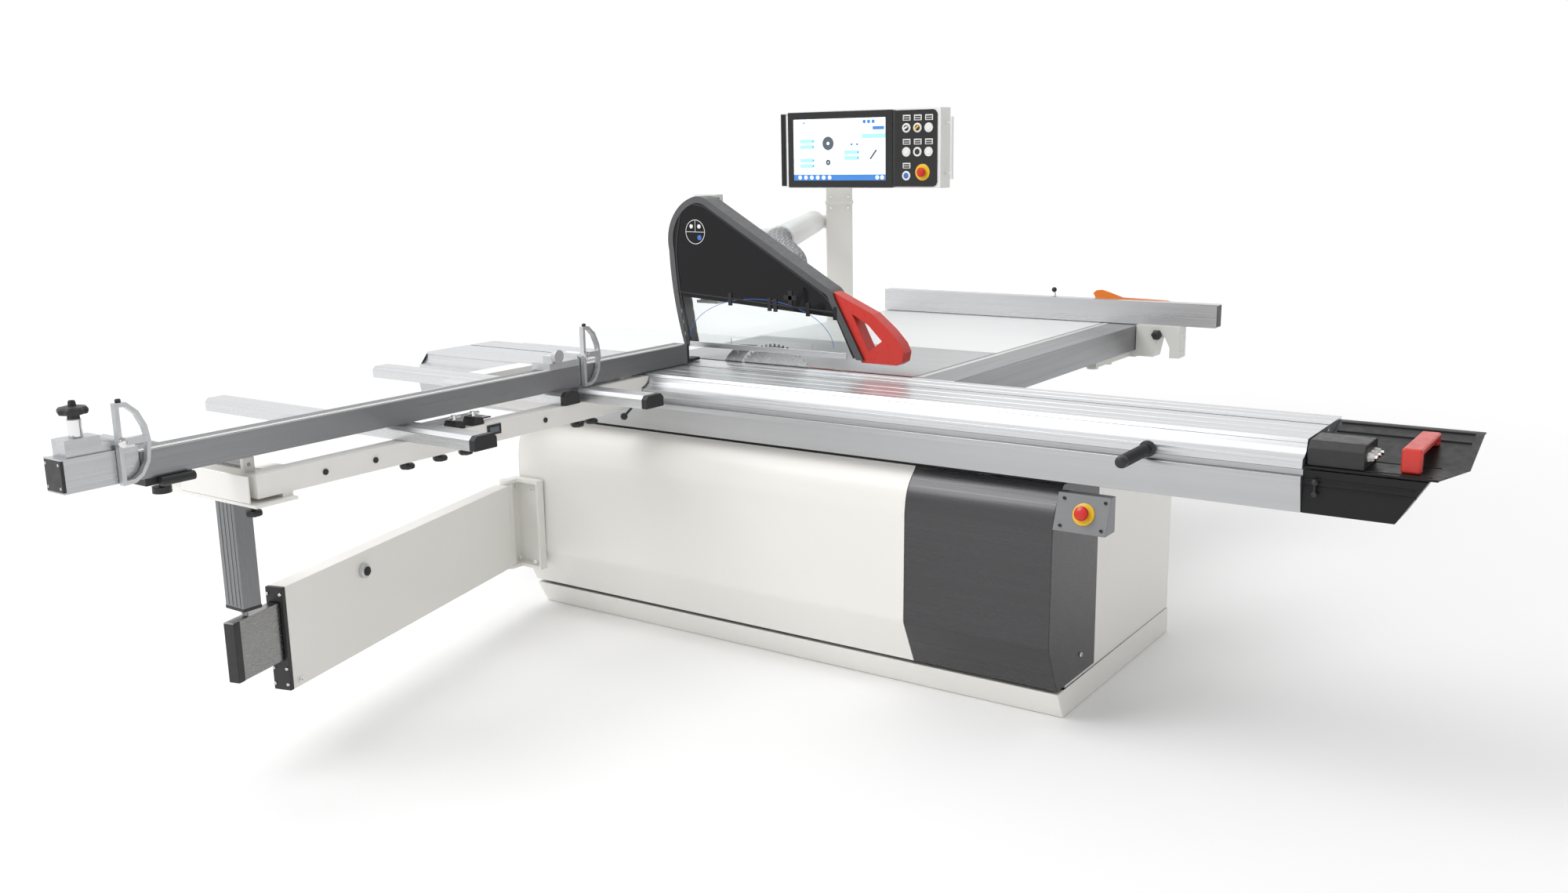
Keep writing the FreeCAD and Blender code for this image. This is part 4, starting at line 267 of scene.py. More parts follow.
@dataclass(frozen=True)
class Laminate(Finish):
    """Sealed white board with a pearl surface."""

    gloss: float = 0.3

    def dress(self, desk: Desk) -> None:
        """Pearl texture with faint rubbed tracks from sliding sheets."""
        desk.tint(desk.noise((1.2, 9, 1.2)), shade(self.colour, 0.985), shade(self.colour, 1.01))
        desk.rough(desk.noise((3, 30, 3)), self.gloss - 0.015, self.gloss + 0.02)
        desk.bump(desk.noise((500, 500, 500), 1.0), 0.00006, 0.3)


@dataclass(frozen=True)
class Polycarbonate(Finish):
    """Clear or smoked sheet."""

    haze: float = 0.04
    clear: float = 1.0

    def dress(self, desk: Desk) -> None:
        """See-through sheet whose gloss is broken by fine wiping marks."""
        desk.set(Base_Color=(*self.colour, 1.0), Transmission_Weight=self.clear, IOR=1.3)
        desk.rough(desk.noise((12, 12, 90), 5.0), self.haze * 0.5, self.haze * 1.8)


@dataclass(frozen=True)
class Polish(Finish):
    """Chrome or polished steel."""

    gloss: float = 0.08

    def dress(self, desk: Desk) -> None:
        """Bright metal with faint smears."""
        desk.set(Base_Color=(*self.colour, 1.0), Metallic=1.0)
        desk.rough(desk.noise((80, 80, 80)), self.gloss * 0.6, self.gloss * 1.9)


@dataclass(frozen=True)
class Braid(Finish):
    """Woven sleeve over a spiral hose, on the piece's own UV map."""

    turns: float = 46.0

    def dress(self, desk: Desk) -> None:
        """Two crossing sets of strands from the sum and difference of U and V."""
        where = desk.nodes.new("ShaderNodeTexCoord")
        split = desk.nodes.new("ShaderNodeSeparateXYZ")
        desk.links.new(where.outputs["UV"], split.inputs["Vector"])
        strands = []
        for kind in ("ADD", "SUBTRACT"):
            mix = desk.nodes.new("ShaderNodeMath")
            mix.operation = kind
            desk.links.new(split.outputs["X"], mix.inputs[0])
            desk.links.new(split.outputs["Y"], mix.inputs[1])
            wave = desk.math("SINE", desk.math("MULTIPLY", mix.outputs["Value"], self.turns), 0)
            strands.append(desk.math("ABSOLUTE", wave, 0))
        weave = desk.nodes.new("ShaderNodeMath")
        weave.operation = "MULTIPLY"
        desk.links.new(strands[0], weave.inputs[0])
        desk.links.new(strands[1], weave.inputs[1])
        desk.tint(weave.outputs["Value"], shade(self.colour, 0.55), shade(self.colour, 1.25))
        desk.bump(weave.outputs["Value"], 0.0012, 0.8)
        desk.rough(desk.noise((60, 60, 60)), 0.42, 0.6)
        desk.set(Metallic=0.35)


@dataclass(frozen=True)
class Ruler(Finish):
    """Pale strip with millimetre ticks along one axis."""

    along: Axis = Axis.Y
    pitch: float = 0.01

    def dress(self, desk: Desk) -> None:
        """A dark tick where the place along the strip, over the pitch, has a small fraction."""
        where = desk.nodes.new("ShaderNodeTexCoord")
        split = desk.nodes.new("ShaderNodeSeparateXYZ")
        desk.links.new(where.outputs["Object"], split.inputs["Vector"])
        place = desk.math("MULTIPLY", split.outputs["XYZ"[self.along.value]], 1 / self.pitch)
        tick = desk.math("LESS_THAN", desk.math("FRACT", place, 0), 0.16)
        desk.tint(tick, self.colour, (0.03, 0.03, 0.03))
        desk.rough(desk.noise((50, 50, 50)), 0.3, 0.42)


@dataclass(frozen=True)
class Glow(Finish):
    """Lit area of a display."""

    power: float = 0.8

    def dress(self, desk: Desk) -> None:
        """Emission under smooth glass, slightly uneven like a backlight."""
        desk.tint(desk.noise((6, 6, 6)), shade(self.colour, 0.96), self.colour)
        desk.set(Emission_Color=(*self.colour, 1.0), Emission_Strength=self.power)
        desk.rough(desk.noise((20, 20, 20)), 0.12, 0.2)


@dataclass(frozen=True)
class StudioPaper(Finish):
    """Pale floor that gets lighter away from the middle, so that it melts into the sky."""

    lift: float = 0.29
    near_shade: float = 0.98
    near: float = 2.5
    far: float = 9.0

    def dress(self, desk: Desk) -> None:
        """Matt white; the distance from the origin maps to the shade and to a faint glow."""
        reach = desk.nodes.new("ShaderNodeVectorMath")
        reach.operation = "LENGTH"
        desk.links.new(desk.place((1.0, 1.0, 1.0)), reach.inputs[0])
        away = desk.nodes.new("ShaderNodeMapRange")
        away.inputs["From Min"].default_value = self.near
        away.inputs["From Max"].default_value = self.far
        desk.links.new(reach.outputs["Value"], away.inputs["Value"])
        fac = away.outputs["Result"]
        desk.tint(fac, shade(self.colour, self.near_shade), self.colour)
        desk.rough(desk.noise((2, 2, 2)), 0.75, 0.85)
        desk.set(Emission_Color=(1.0, 1.0, 1.0, 1.0))
        desk.links.new(desk.math("MULTIPLY", fac, self.lift),
                       desk.shader.inputs["Emission Strength"])


WARM_WHITE = PowderCoat("warm_white_paint", (0.87, 0.858, 0.82))
COVER_WHITE = PowderCoat("cover_white_paint", (0.84, 0.83, 0.79), gloss=0.3)
PIPE_WHITE = PowderCoat("pipe_white_paint", (0.80, 0.80, 0.78))
RIP_GREY = PowderCoat("pale_grey_casting", (0.66, 0.66, 0.63), gloss=0.42, peel=0.0002)
DARK_COVER = DrawnMetal("dark_metallic_cover", (0.085, 0.085, 0.088), gloss=0.30, metal=0.92)
ALU_X = DrawnMetal("anodised_along_x", (0.66, 0.67, 0.685))
# Painted shade: a darker copy of the anodised aluminium along X, for the fence extension; its
# lower value carries the shade of faces turned away from the lamps.
SHADED_ALU_Y = DrawnMetal("anodised_along_y_painted_shade", (0.54, 0.55, 0.565), along=Axis.Y)
# Painted shade: a darker copy of the anodised aluminium, for the guide beam; its lower value
# carries the shade on the beam's front face.
SHADED_BEAM_ALU = DrawnMetal("anodised_beam_painted_shade", (0.50, 0.505, 0.515), gloss=0.34)
# Painted shade: a much darker copy of the anodised aluminium, for the rip rail and the crosscut
# fence bar; its low value carries the shade on their side faces.
SHADED_SIDE_ALU = DrawnMetal("anodised_rail_painted_shade", (0.305, 0.31, 0.32), along=Axis.Y, gloss=0.34)
# Painted shade: the darkest copy of the anodised aluminium, for the support leg and its ribs; its
# low value carries the shade on the leg's faces.
SHADED_ALU_Z = DrawnMetal("anodised_along_z_painted_shade", (0.215, 0.22, 0.225), along=Axis.Z)
GUARD_SILVER = Casting("silver_guard_band", (0.13, 0.132, 0.136), gloss=0.36)
STOP_ALU = Casting("cast_stop_aluminium", (0.62, 0.63, 0.64))
GROUND_TABLE = DrawnMetal("ground_cast_table", (0.42, 0.425, 0.43), gloss=0.34, grain=420.0)
BOARD = Laminate("white_laminate", (0.80, 0.81, 0.81))
BLACK = Moulding("black_moulding", (0.018, 0.018, 0.02))
BLACK_GLOSS = Moulding("black_bezel", (0.008, 0.008, 0.009), gloss=0.16, grain=0.00001)
TRAY_BLACK = Moulding("black_tray_moulding", (0.010, 0.0103, 0.011), gloss=0.36, grain=0.0002,
                      shine=0.25)
RED = Moulding("red_moulding", (0.60, 0.03, 0.02), gloss=0.32)
BUTTON_RED = Moulding("stop_button_red", (0.62, 0.02, 0.012), gloss=0.18, grain=0.00002)
YELLOW = Moulding("stop_ring_yellow", (0.82, 0.50, 0.01), gloss=0.3)
ORANGE = Moulding("orange_moulding", (0.78, 0.19, 0.012), gloss=0.3)
CONSOLE_GREY = Moulding("console_shell_grey", (0.80, 0.80, 0.785), gloss=0.35)
KEY_WHITE = Moulding("key_cap_white", (0.82, 0.82, 0.80), gloss=0.2, grain=0.00001)
STEEL = DrawnMetal("ground_steel", (0.29, 0.29, 0.29), along=Axis.Y, gloss=0.26, metal=1.0)
BLADE_STEEL = Casting("blade_steel", (0.58, 0.58, 0.58), gloss=0.24, metal=1.0)
CHROME = Polish("chrome", (0.62, 0.62, 0.63))
PANEL_GREY = DrawnMetal("grey_metal_panel", (0.22, 0.224, 0.23), gloss=0.38, metal=0.6)
IRON = Casting("painted_iron", (0.11, 0.11, 0.115), gloss=0.5, metal=0.3)
MOTOR_PAINT = PowderCoat("motor_grey_paint", (0.12, 0.13, 0.145), gloss=0.45)
RUBBER = Moulding("black_rubber", (0.012, 0.012, 0.012), gloss=0.7, grain=0.0003)
SMOKED = Polycarbonate("smoked_polycarbonate", (0.012, 0.012, 0.014), clear=0.25)
CLEAR = Polycarbonate("clear_polycarbonate", (0.93, 0.95, 0.95))
HOSE = Braid("grey_braided_sleeve", (0.36, 0.37, 0.38))
SCALE_Y = Ruler("fence_scale", (0.72, 0.72, 0.70))
SCREEN = Glow("screen_white", (0.80, 0.88, 0.92), power=0.55)
SCREEN_BLUE = Glow("screen_blue", (0.04, 0.18, 0.52), power=0.5)
DOT_BLUE = Moulding("dial_blue", (0.05, 0.16, 0.55), gloss=0.2, grain=0.00001)
SCREEN_SKY = Glow("screen_sky", (0.30, 0.62, 0.85), power=0.6)
SCREEN_GREY = Glow("screen_grey", (0.08, 0.10, 0.12), power=0.25)
PAPER = StudioPaper("studio_floor", (0.97, 0.97, 0.97))


# ------------------------------------------------------------------ surfaces
@dataclass
class Shell:
    """Vertices and faces of one or more closed surfaces."""

    points: np.ndarray
    faces: list[tuple[int, ...]]

    def __add__(self, other: "Shell") -> "Shell":
        """Both shells in one, the second's faces renumbered."""
        shift = len(self.points)
        moved = [tuple(index + shift for index in face) for face in other.faces]
        return Shell(np.vstack([self.points, other.points]), self.faces + moved)

    def outward(self) -> "Shell":
        """The same shell with its faces outwards.

        The signed volume is the sum of the fan triangles' triple products; where it is
        negative, every face is turned round.
        """
        volume = 0.0
        for face in self.faces:
            ring = self.points[list(face)]
            fan = np.cross(ring[1:-1], ring[2:])
            volume += float(np.sum(fan @ ring[0]))
        if volume < 0:
            return Shell(self.points, [tuple(reversed(face)) for face in self.faces])
        return self


def joined(shells: list[Shell]) -> Shell:
    """Several shells as one."""
    whole = shells[0]
    for shell in shells[1:]:
        whole = whole + shell
    return whole


def rings(points: np.ndarray, looped: bool = False) -> Shell:
    """Close a stack of rings into a solid.

    Args:
        points: array of rings by points by 3; neighbouring rings are joined by quads, and the
            first and last ring are capped.
        looped: join the last ring to the first instead of capping them.

    Returns:
        The closed shell.
    """
    count, around = points.shape[:2]
    index = np.arange(count * around).reshape(count, around)
    here = index if looped else index[:-1]
    above = np.roll(index, -1, 0)[:len(here)]
    quads = np.stack([here, np.roll(here, -1, 1), np.roll(above, -1, 1), above], -1)
    faces = [tuple(face) for face in quads.reshape(-1, 4).tolist()]
    if not looped:
        faces.append(tuple(reversed(index[0].tolist())))
        faces.append(tuple(index[-1].tolist()))
    return Shell(points.reshape(-1, 3), faces).outward()


def prism(outline: list[tuple[float, float]], axis: Axis, span: tuple[float, float]) -> Shell:
    """An outline across an axis, carried straight along it.

    Args:
        outline: closed outline in the two coordinates across the axis.
        axis: direction of the run.
        span: start and end along the axis.

    Returns:
        The closed shell.
    """
    flat = np.asarray(outline, float)
    stack = np.empty((2, len(flat), 3))
    stack[:, :, list(axis.others)] = flat
    stack[0, :, axis.value] = span[0]
    stack[1, :, axis.value] = span[1]
    return rings(stack)


def cuboid(low: Point, high: Point) -> Shell:
    """A block between two corners."""
    outline = [(low[0], low[1]), (high[0], low[1]), (high[0], high[1]), (low[0], high[1])]
    return prism(outline, Axis.Z, (low[2], high[2]))


def turned(profile: list[tuple[float, float]], centre: Point, direction: Point,
           segments: int = 32, lobes: int = 0, depth: float = 0.0,
           looped: bool = False) -> Shell:
    """A profile turned about a line.

    A point is the centre plus height times the direction plus radius times the turning unit
    vector; a lobed grip swells the radius by depth times the cosine of lobes times the angle.

    Args:
        profile: radius and height pairs from one end to the other.
        centre: start of the line.
        direction: direction of the line.
        segments: points around.
        lobes: finger lobes or knurls, 0 for none.
        depth: share of the radius that the lobes add.
        looped: the profile is closed, which leaves the middle open.

    Returns:
        The closed shell.
    """
    way = np.asarray(direction, float)
    way = way / np.linalg.norm(way)
    helper = np.array([0.0, 0.0, 1.0]) if abs(way[2]) < 0.9 else np.array([1.0, 0.0, 0.0])
    first = np.cross(way, helper)
    first = first / np.linalg.norm(first)
    second = np.cross(way, first)
    angle = np.linspace(0, 2 * math.pi, segments, endpoint=False)
    circle = np.outer(np.cos(angle), first) + np.outer(np.sin(angle), second)
    swell = (1 + depth * np.cos(lobes * angle))[:, None]
    radius, height = np.asarray(profile, float).T
    stack = (np.asarray(centre)[None, None] + height[:, None, None] * way
             + radius[:, None, None] * (circle * swell)[None])
    return rings(stack, looped)


def hoop(inner: float, outer: float, span: tuple[float, float], centre: Point,
         direction: Point, segments: int = 40) -> Shell:
    """An open ring between two radii, over a span along its line."""
    edge = min(outer - inner, span[1] - span[0]) * 0.2
    profile = [(inner, span[0]), (outer - edge, span[0]), (outer, span[0] + edge),
               (outer, span[1] - edge), (outer - edge, span[1]), (inner, span[1])]
    return turned(profile, centre, direction, segments, looped=True)


def rounded(points: list[tuple[float, float]], radii: list[float],
            steps: int = 8) -> list[tuple[float, float]]:
    """A polyline whose inner corners are replaced by tangent arcs.

    The arc of a corner starts at radius over the tangent of half its angle from the corner,
    and the arc's points turn evenly about its centre.

    Args:
        points: the polyline.
        radii: one radius for each inner corner.
        steps: points along each arc.

    Returns:
        The new polyline.
    """
    path = [tuple(points[0])]
    for before, corner, after, radius in zip(points, points[1:], points[2:], radii):
        p = np.asarray(corner, float)
        a = np.asarray(before, float) - p
        b = np.asarray(after, float) - p
        room = min(np.linalg.norm(a), np.linalg.norm(b)) * 0.49
        a = a / np.linalg.norm(a)
        b = b / np.linalg.norm(b)
        half = math.acos(float(np.clip(a @ b, -1, 1))) / 2
        back = min(radius / math.tan(half), room)
        true = back * math.tan(half)
        centre = p + (a + b) / np.linalg.norm(a + b) * (true / math.sin(half))
        first = p + a * back - centre
        last = p + b * back - centre
        for share in np.linspace(0, 1, steps):
            ray = first * (1 - share) + last * share
            path.append(tuple(centre + ray / np.linalg.norm(ray) * true))
    path.append(tuple(points[-1]))
    return path


def offset(path: list[tuple[float, float]], distance: float) -> list[tuple[float, float]]:
    """Shift a polyline to its left by a distance, along its normals."""
    line = np.asarray(path, float)
    way = np.gradient(line, axis=0)
    way /= np.linalg.norm(way, axis=1)[:, None]
    moved = line + distance * np.stack([-way[:, 1], way[:, 0]], 1)
    return [tuple(point) for point in moved]


def rod(start: Point, end: Point, radius: float, segments: int = 20) -> Shell:
    """A round bar between two points with small edge chamfers."""
    way = np.asarray(end, float) - np.asarray(start, float)
    length = float(np.linalg.norm(way))
    edge = min(radius, length) * 0.12
    profile = [(radius - edge, 0), (radius, edge), (radius, length - edge),
               (radius - edge, length)]
    return turned(profile, start, tuple(way), segments)


def ball(centre: Point, radius: float, segments: int = 24) -> Shell:
    """A sphere: radius times sine and cosine of the polar angle, turned about Z."""
    polar = np.linspace(0.06, math.pi - 0.06, 14)
    profile = [(radius * math.sin(a), -radius * math.cos(a)) for a in polar]
    return turned(profile, centre, (0, 0, 1), segments)


def screw(centre: Point, direction: Point, radius: float = 0.005) -> Shell:
    """Cap screw head with its socket: a turned rim around a hexagonal recess."""
    rim = [(radius * 0.9, 0), (radius, radius * 0.2), (radius, radius * 0.8),
           (radius * 0.88, radius), (radius * 0.55, radius), (radius * 0.5, radius * 0.45)]
    return turned(rim, centre, direction, 12)


def ribbon(first: np.ndarray, second: np.ndarray, front: float, back: float) -> Shell:
    """A strip between two lines that lie square to Y.

    Each ring has four corners: both lines at the front, then both at the back.

    Args:
        first: X and Z of the points of one line.
        second: X and Z of the points of the other line.
        front: Y of the strip's front.
        back: Y of its back.

    Returns:
        The closed shell.
    """
    stack = np.empty((len(first), 4, 3))
    for corner, (edge, y) in enumerate(((first, front), (second, front),
                                        (second, back), (first, back))):
        stack[:, corner, 0] = edge[:, 0]
        stack[:, corner, 1] = y
        stack[:, corner, 2] = edge[:, 1]
    return rings(stack)


def lobed_knob(centre: Point, direction: Point, radius: float, height: float,
               lobes: int = 6) -> Shell:
    """Clamping knob: a crowned grip with finger lobes over a narrow neck."""
    grip = [(radius * 0.72, 0), (radius * 0.95, height * 0.12), (radius, height * 0.4),
            (radius * 0.94, height * 0.78), (radius * 0.7, height * 0.95),
            (radius * 0.3, height)]
    return turned(grip, centre, direction, 48, lobes, 0.07)


# ------------------------------------------------------------------ placing pieces
SMOOTH_ANGLE = math.radians(32)


@dataclass
class Fit:
    """How a piece is held: its body, the record's slot and the nodes that it stands for.

    A piece with no body is not attached to any body.
    """

    body: str
    slot: str
    stands_for: tuple[str, ...] = ()


def finish_edges(piece: bpy.types.Object, bevel: float, segments: int = 2) -> None:
    """Round a piece's sharp edges with a bevel whose flat faces keep their shading."""
    if bevel <= 0:
        return
    edge = piece.modifiers.new("edge", "BEVEL")
    edge.width = bevel
    edge.segments = segments
    edge.limit_method = "ANGLE"
    edge.angle_limit = math.radians(35)
    edge.harden_normals = True


def settle(piece: bpy.types.Object, finish: Finish, fit: Fit) -> None:
    """Give a piece its finish and its body, hide the nodes that it stands for, and log it."""
    piece.data.materials.clear()
    piece.data.materials.append(finish.material())
    if fit.body:
        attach(piece, fit.body)
    if fit.stands_for:
        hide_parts(*fit.stands_for)
    LOG.info("%s: %s on %s, %d vertices", piece.name, finish.name, fit.body,
             len(piece.data.vertices))


def make(name: str, shell: Shell, finish: Finish, fit: Fit,
         bevel: float = 0.0) -> bpy.types.Object:
    """Make one piece from a shell.

    Args:
        name: the piece's name.
        shell: its surface.
        finish: its finish.
        fit: what holds it.
        bevel: width of its rounded edges.

    Returns:
        The new object, at the origin.
    """
    mesh = bpy.data.meshes.new(name)
    mesh.from_pydata(shell.points.tolist(), [], shell.faces)
    mesh.polygons.foreach_set("use_smooth", np.ones(len(mesh.polygons), bool))
    mesh.set_sharp_from_angle(angle=SMOOTH_ANGLE)
    mesh.update()
    piece = bpy.data.objects.new(name, mesh)
    bpy.context.scene.collection.objects.link(piece)
    settle(piece, finish, fit)
    finish_edges(piece, bevel)
    return piece


def body_of(node: str) -> str:
    """The record's body that holds a node."""
    bodies = frame["record"]["behaviour"]["bodies"]
    return next(body for body, nodes in bodies.items() if node in nodes)


def slot_of(node: str) -> str:
    """The record's material slot of a node."""
    return next(row["material_slot"] for row in frame["record"]["subparts"]
                if row["node"] == node)


def fit_of(node: str, replace: bool = False) -> Fit:
    """The fit of a piece on the same body and slot as a node."""
    return Fit(body_of(node), slot_of(node), (node,) if replace else ())


def eased(node: str, finish: Finish, bevel: float, segments: int = 2) -> None:
    """Stand in for a node with a merged copy of its mesh whose edges are rounded.

    Args:
        node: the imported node.
        finish: the copy's finish.
        bevel: width of the rounded edges.
        segments: steps across each edge.
    """
    mesh = frame["nodes"][node].data.copy()
    mesh.name = f"{node}_eased"
    work = bmesh.new()
    work.from_mesh(mesh)
    bmesh.ops.remove_doubles(work, verts=work.verts, dist=0.00002)
    bmesh.ops.dissolve_limit(
        work, angle_limit=math.radians(0.6), verts=work.verts, edges=work.edges,
    )
    work.to_mesh(mesh)
    work.free()
    mesh.polygons.foreach_set("use_smooth", np.ones(len(mesh.polygons), bool))
    mesh.set_sharp_from_angle(angle=SMOOTH_ANGLE)
    piece = bpy.data.objects.new(f"{node}_eased", mesh)
    bpy.context.scene.collection.objects.link(piece)
    settle(piece, finish, fit_of(node, True))
    finish_edges(piece, bevel, segments)


def dress(node: str, finish: Finish) -> None:
    """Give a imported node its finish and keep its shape."""
    shown = frame["nodes"][node]
    for place in shown.material_slots:
        place.material = finish.material()
    LOG.info("%s: kept, %s", node, finish.name)


def corners(node: str) -> tuple[np.ndarray, np.ndarray]:
    """Lowest and highest corner of a node."""
    low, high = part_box(node)
    return np.array(low), np.array(high)


# ------------------------------------------------------------------ sub-assemblies
@dataclass
class Studio:
    """Camera, lights, floor and white surroundings."""

    eye: Point = (2.6878, -3.8319, 1.618)
    heading: float = 34.762
    pitch: float = -12.105
    roll: float = 0.961
    lens: float = 31.73
    sensor: float = 36.0
    floor_half: float = 60.0
    sky: float = 1.0
    near_sky: float = 0.40
    dark_side: float = 84.0

    def build(self) -> None:
        """Make the whole studio."""
        self.camera()
        self.floor()
        self.lights()

    def camera(self) -> None:
        """Aim the camera by heading left of +Y, pitch and roll."""
        turn = math.radians(self.heading)
        nod = math.radians(self.pitch)
        lean = math.radians(self.roll)
        level = np.array([math.cos(turn), math.sin(turn), 0.0])
        ahead = np.array([-math.sin(turn) * math.cos(nod), math.cos(turn) * math.cos(nod),
                          math.sin(nod)])
        plumb = np.cross(level, ahead)
        right = math.cos(lean) * level - math.sin(lean) * plumb
        up = math.cos(lean) * plumb + math.sin(lean) * level
        data = bpy.data.cameras.new("studio_camera")
        data.lens = self.lens
        data.sensor_width = self.sensor
        data.clip_end = 200
        seat = bpy.data.objects.new("studio_camera", data)
        matrix = np.eye(4)
        matrix[:3, 0] = right
        matrix[:3, 1] = up
        matrix[:3, 2] = -ahead
        matrix[:3, 3] = self.eye
        seat.matrix_world = Matrix([tuple(row) for row in matrix])
        bpy.context.scene.collection.objects.link(seat)
        bpy.context.scene.camera = seat

    def floor(self) -> None:
        """One wide pale sheet under the plinth."""
        half = self.floor_half
        mesh = bpy.data.meshes.new("floor")
        mesh.from_pydata([(-half, -half, -0.0006), (half, -half, -0.0006),
                          (half, half, -0.0006), (-half, half, -0.0006)], [], [(0, 1, 2, 3)])
        floor = bpy.data.objects.new("floor", mesh)
        mesh.materials.append(PAPER.material())
        bpy.context.scene.collection.objects.link(floor)

    def lights(self) -> None:
        """Large soft boxes above and to the sides, and a white sky."""
        for name, spot, aim, size, watts in (
            ("key_box", (-2.4, -4.2, 5.6), (0, 0, 0.6), 3.0, 105.0),
            ("side_box", (5.8, -2.6, 3.0), (0.5, 0, 0.8), 2.0, 10.0),
            ("top_box", (-1.3, -1.5, 6.0), (0.3, 0.1, 0.6), 3.4, 95.0),
        ):
            data = bpy.data.lights.new(name, "AREA")
            data.size = size
            data.energy = watts
            lamp = bpy.data.objects.new(name, data)
            lamp.location = spot
            way = np.array(aim, float) - np.array(spot, float)
            lamp.rotation_euler = (
                math.acos(-way[2] / np.linalg.norm(way)), 0.0,
                math.atan2(way[1], way[0]) - math.pi / 2,
            )
            bpy.context.scene.collection.objects.link(lamp)
        self.surroundings()
        bpy.context.scene.view_settings.view_transform = "Standard"

    def surroundings(self) -> None:
        """White sky that falls off towards the viewer's side of the studio.

        The strength is mapped from the dot product of the direction with a level vector that
        points to the dark side; the backdrop itself stays white all round.
        """
        world = bpy.data.worlds.new("studio_sky")
        world.use_nodes = True
        nodes = world.node_tree.nodes
        links = world.node_tree.links
        sky = nodes["Background"]
        sky.inputs["Color"].default_value = (1.0, 1.0, 1.0, 1.0)
        where = nodes.new("ShaderNodeTexCoord")
        lean = nodes.new("ShaderNodeVectorMath")
        lean.operation = "DOT_PRODUCT"
        turn = math.radians(self.dark_side)
        lean.inputs[1].default_value = (math.sin(turn), -math.cos(turn), 0.0)
        fall = nodes.new("ShaderNodeMapRange")
        fall.inputs["From Min"].default_value = -0.15
        fall.inputs["From Max"].default_value = 0.75
        fall.inputs["To Min"].default_value = self.sky
        fall.inputs["To Max"].default_value = self.near_sky
        links.new(where.outputs["Generated"], lean.inputs[0])
        links.new(lean.outputs["Value"], fall.inputs["Value"])
        backdrop = nodes.new("ShaderNodeMath")
        backdrop.operation = "MAXIMUM"
        path = nodes.new("ShaderNodeLightPath")
        links.new(fall.outputs["Result"], backdrop.inputs[0])
        links.new(path.outputs["Is Camera Ray"], backdrop.inputs[1])
        links.new(backdrop.outputs["Value"], sky.inputs["Strength"])
        bpy.context.scene.world = world


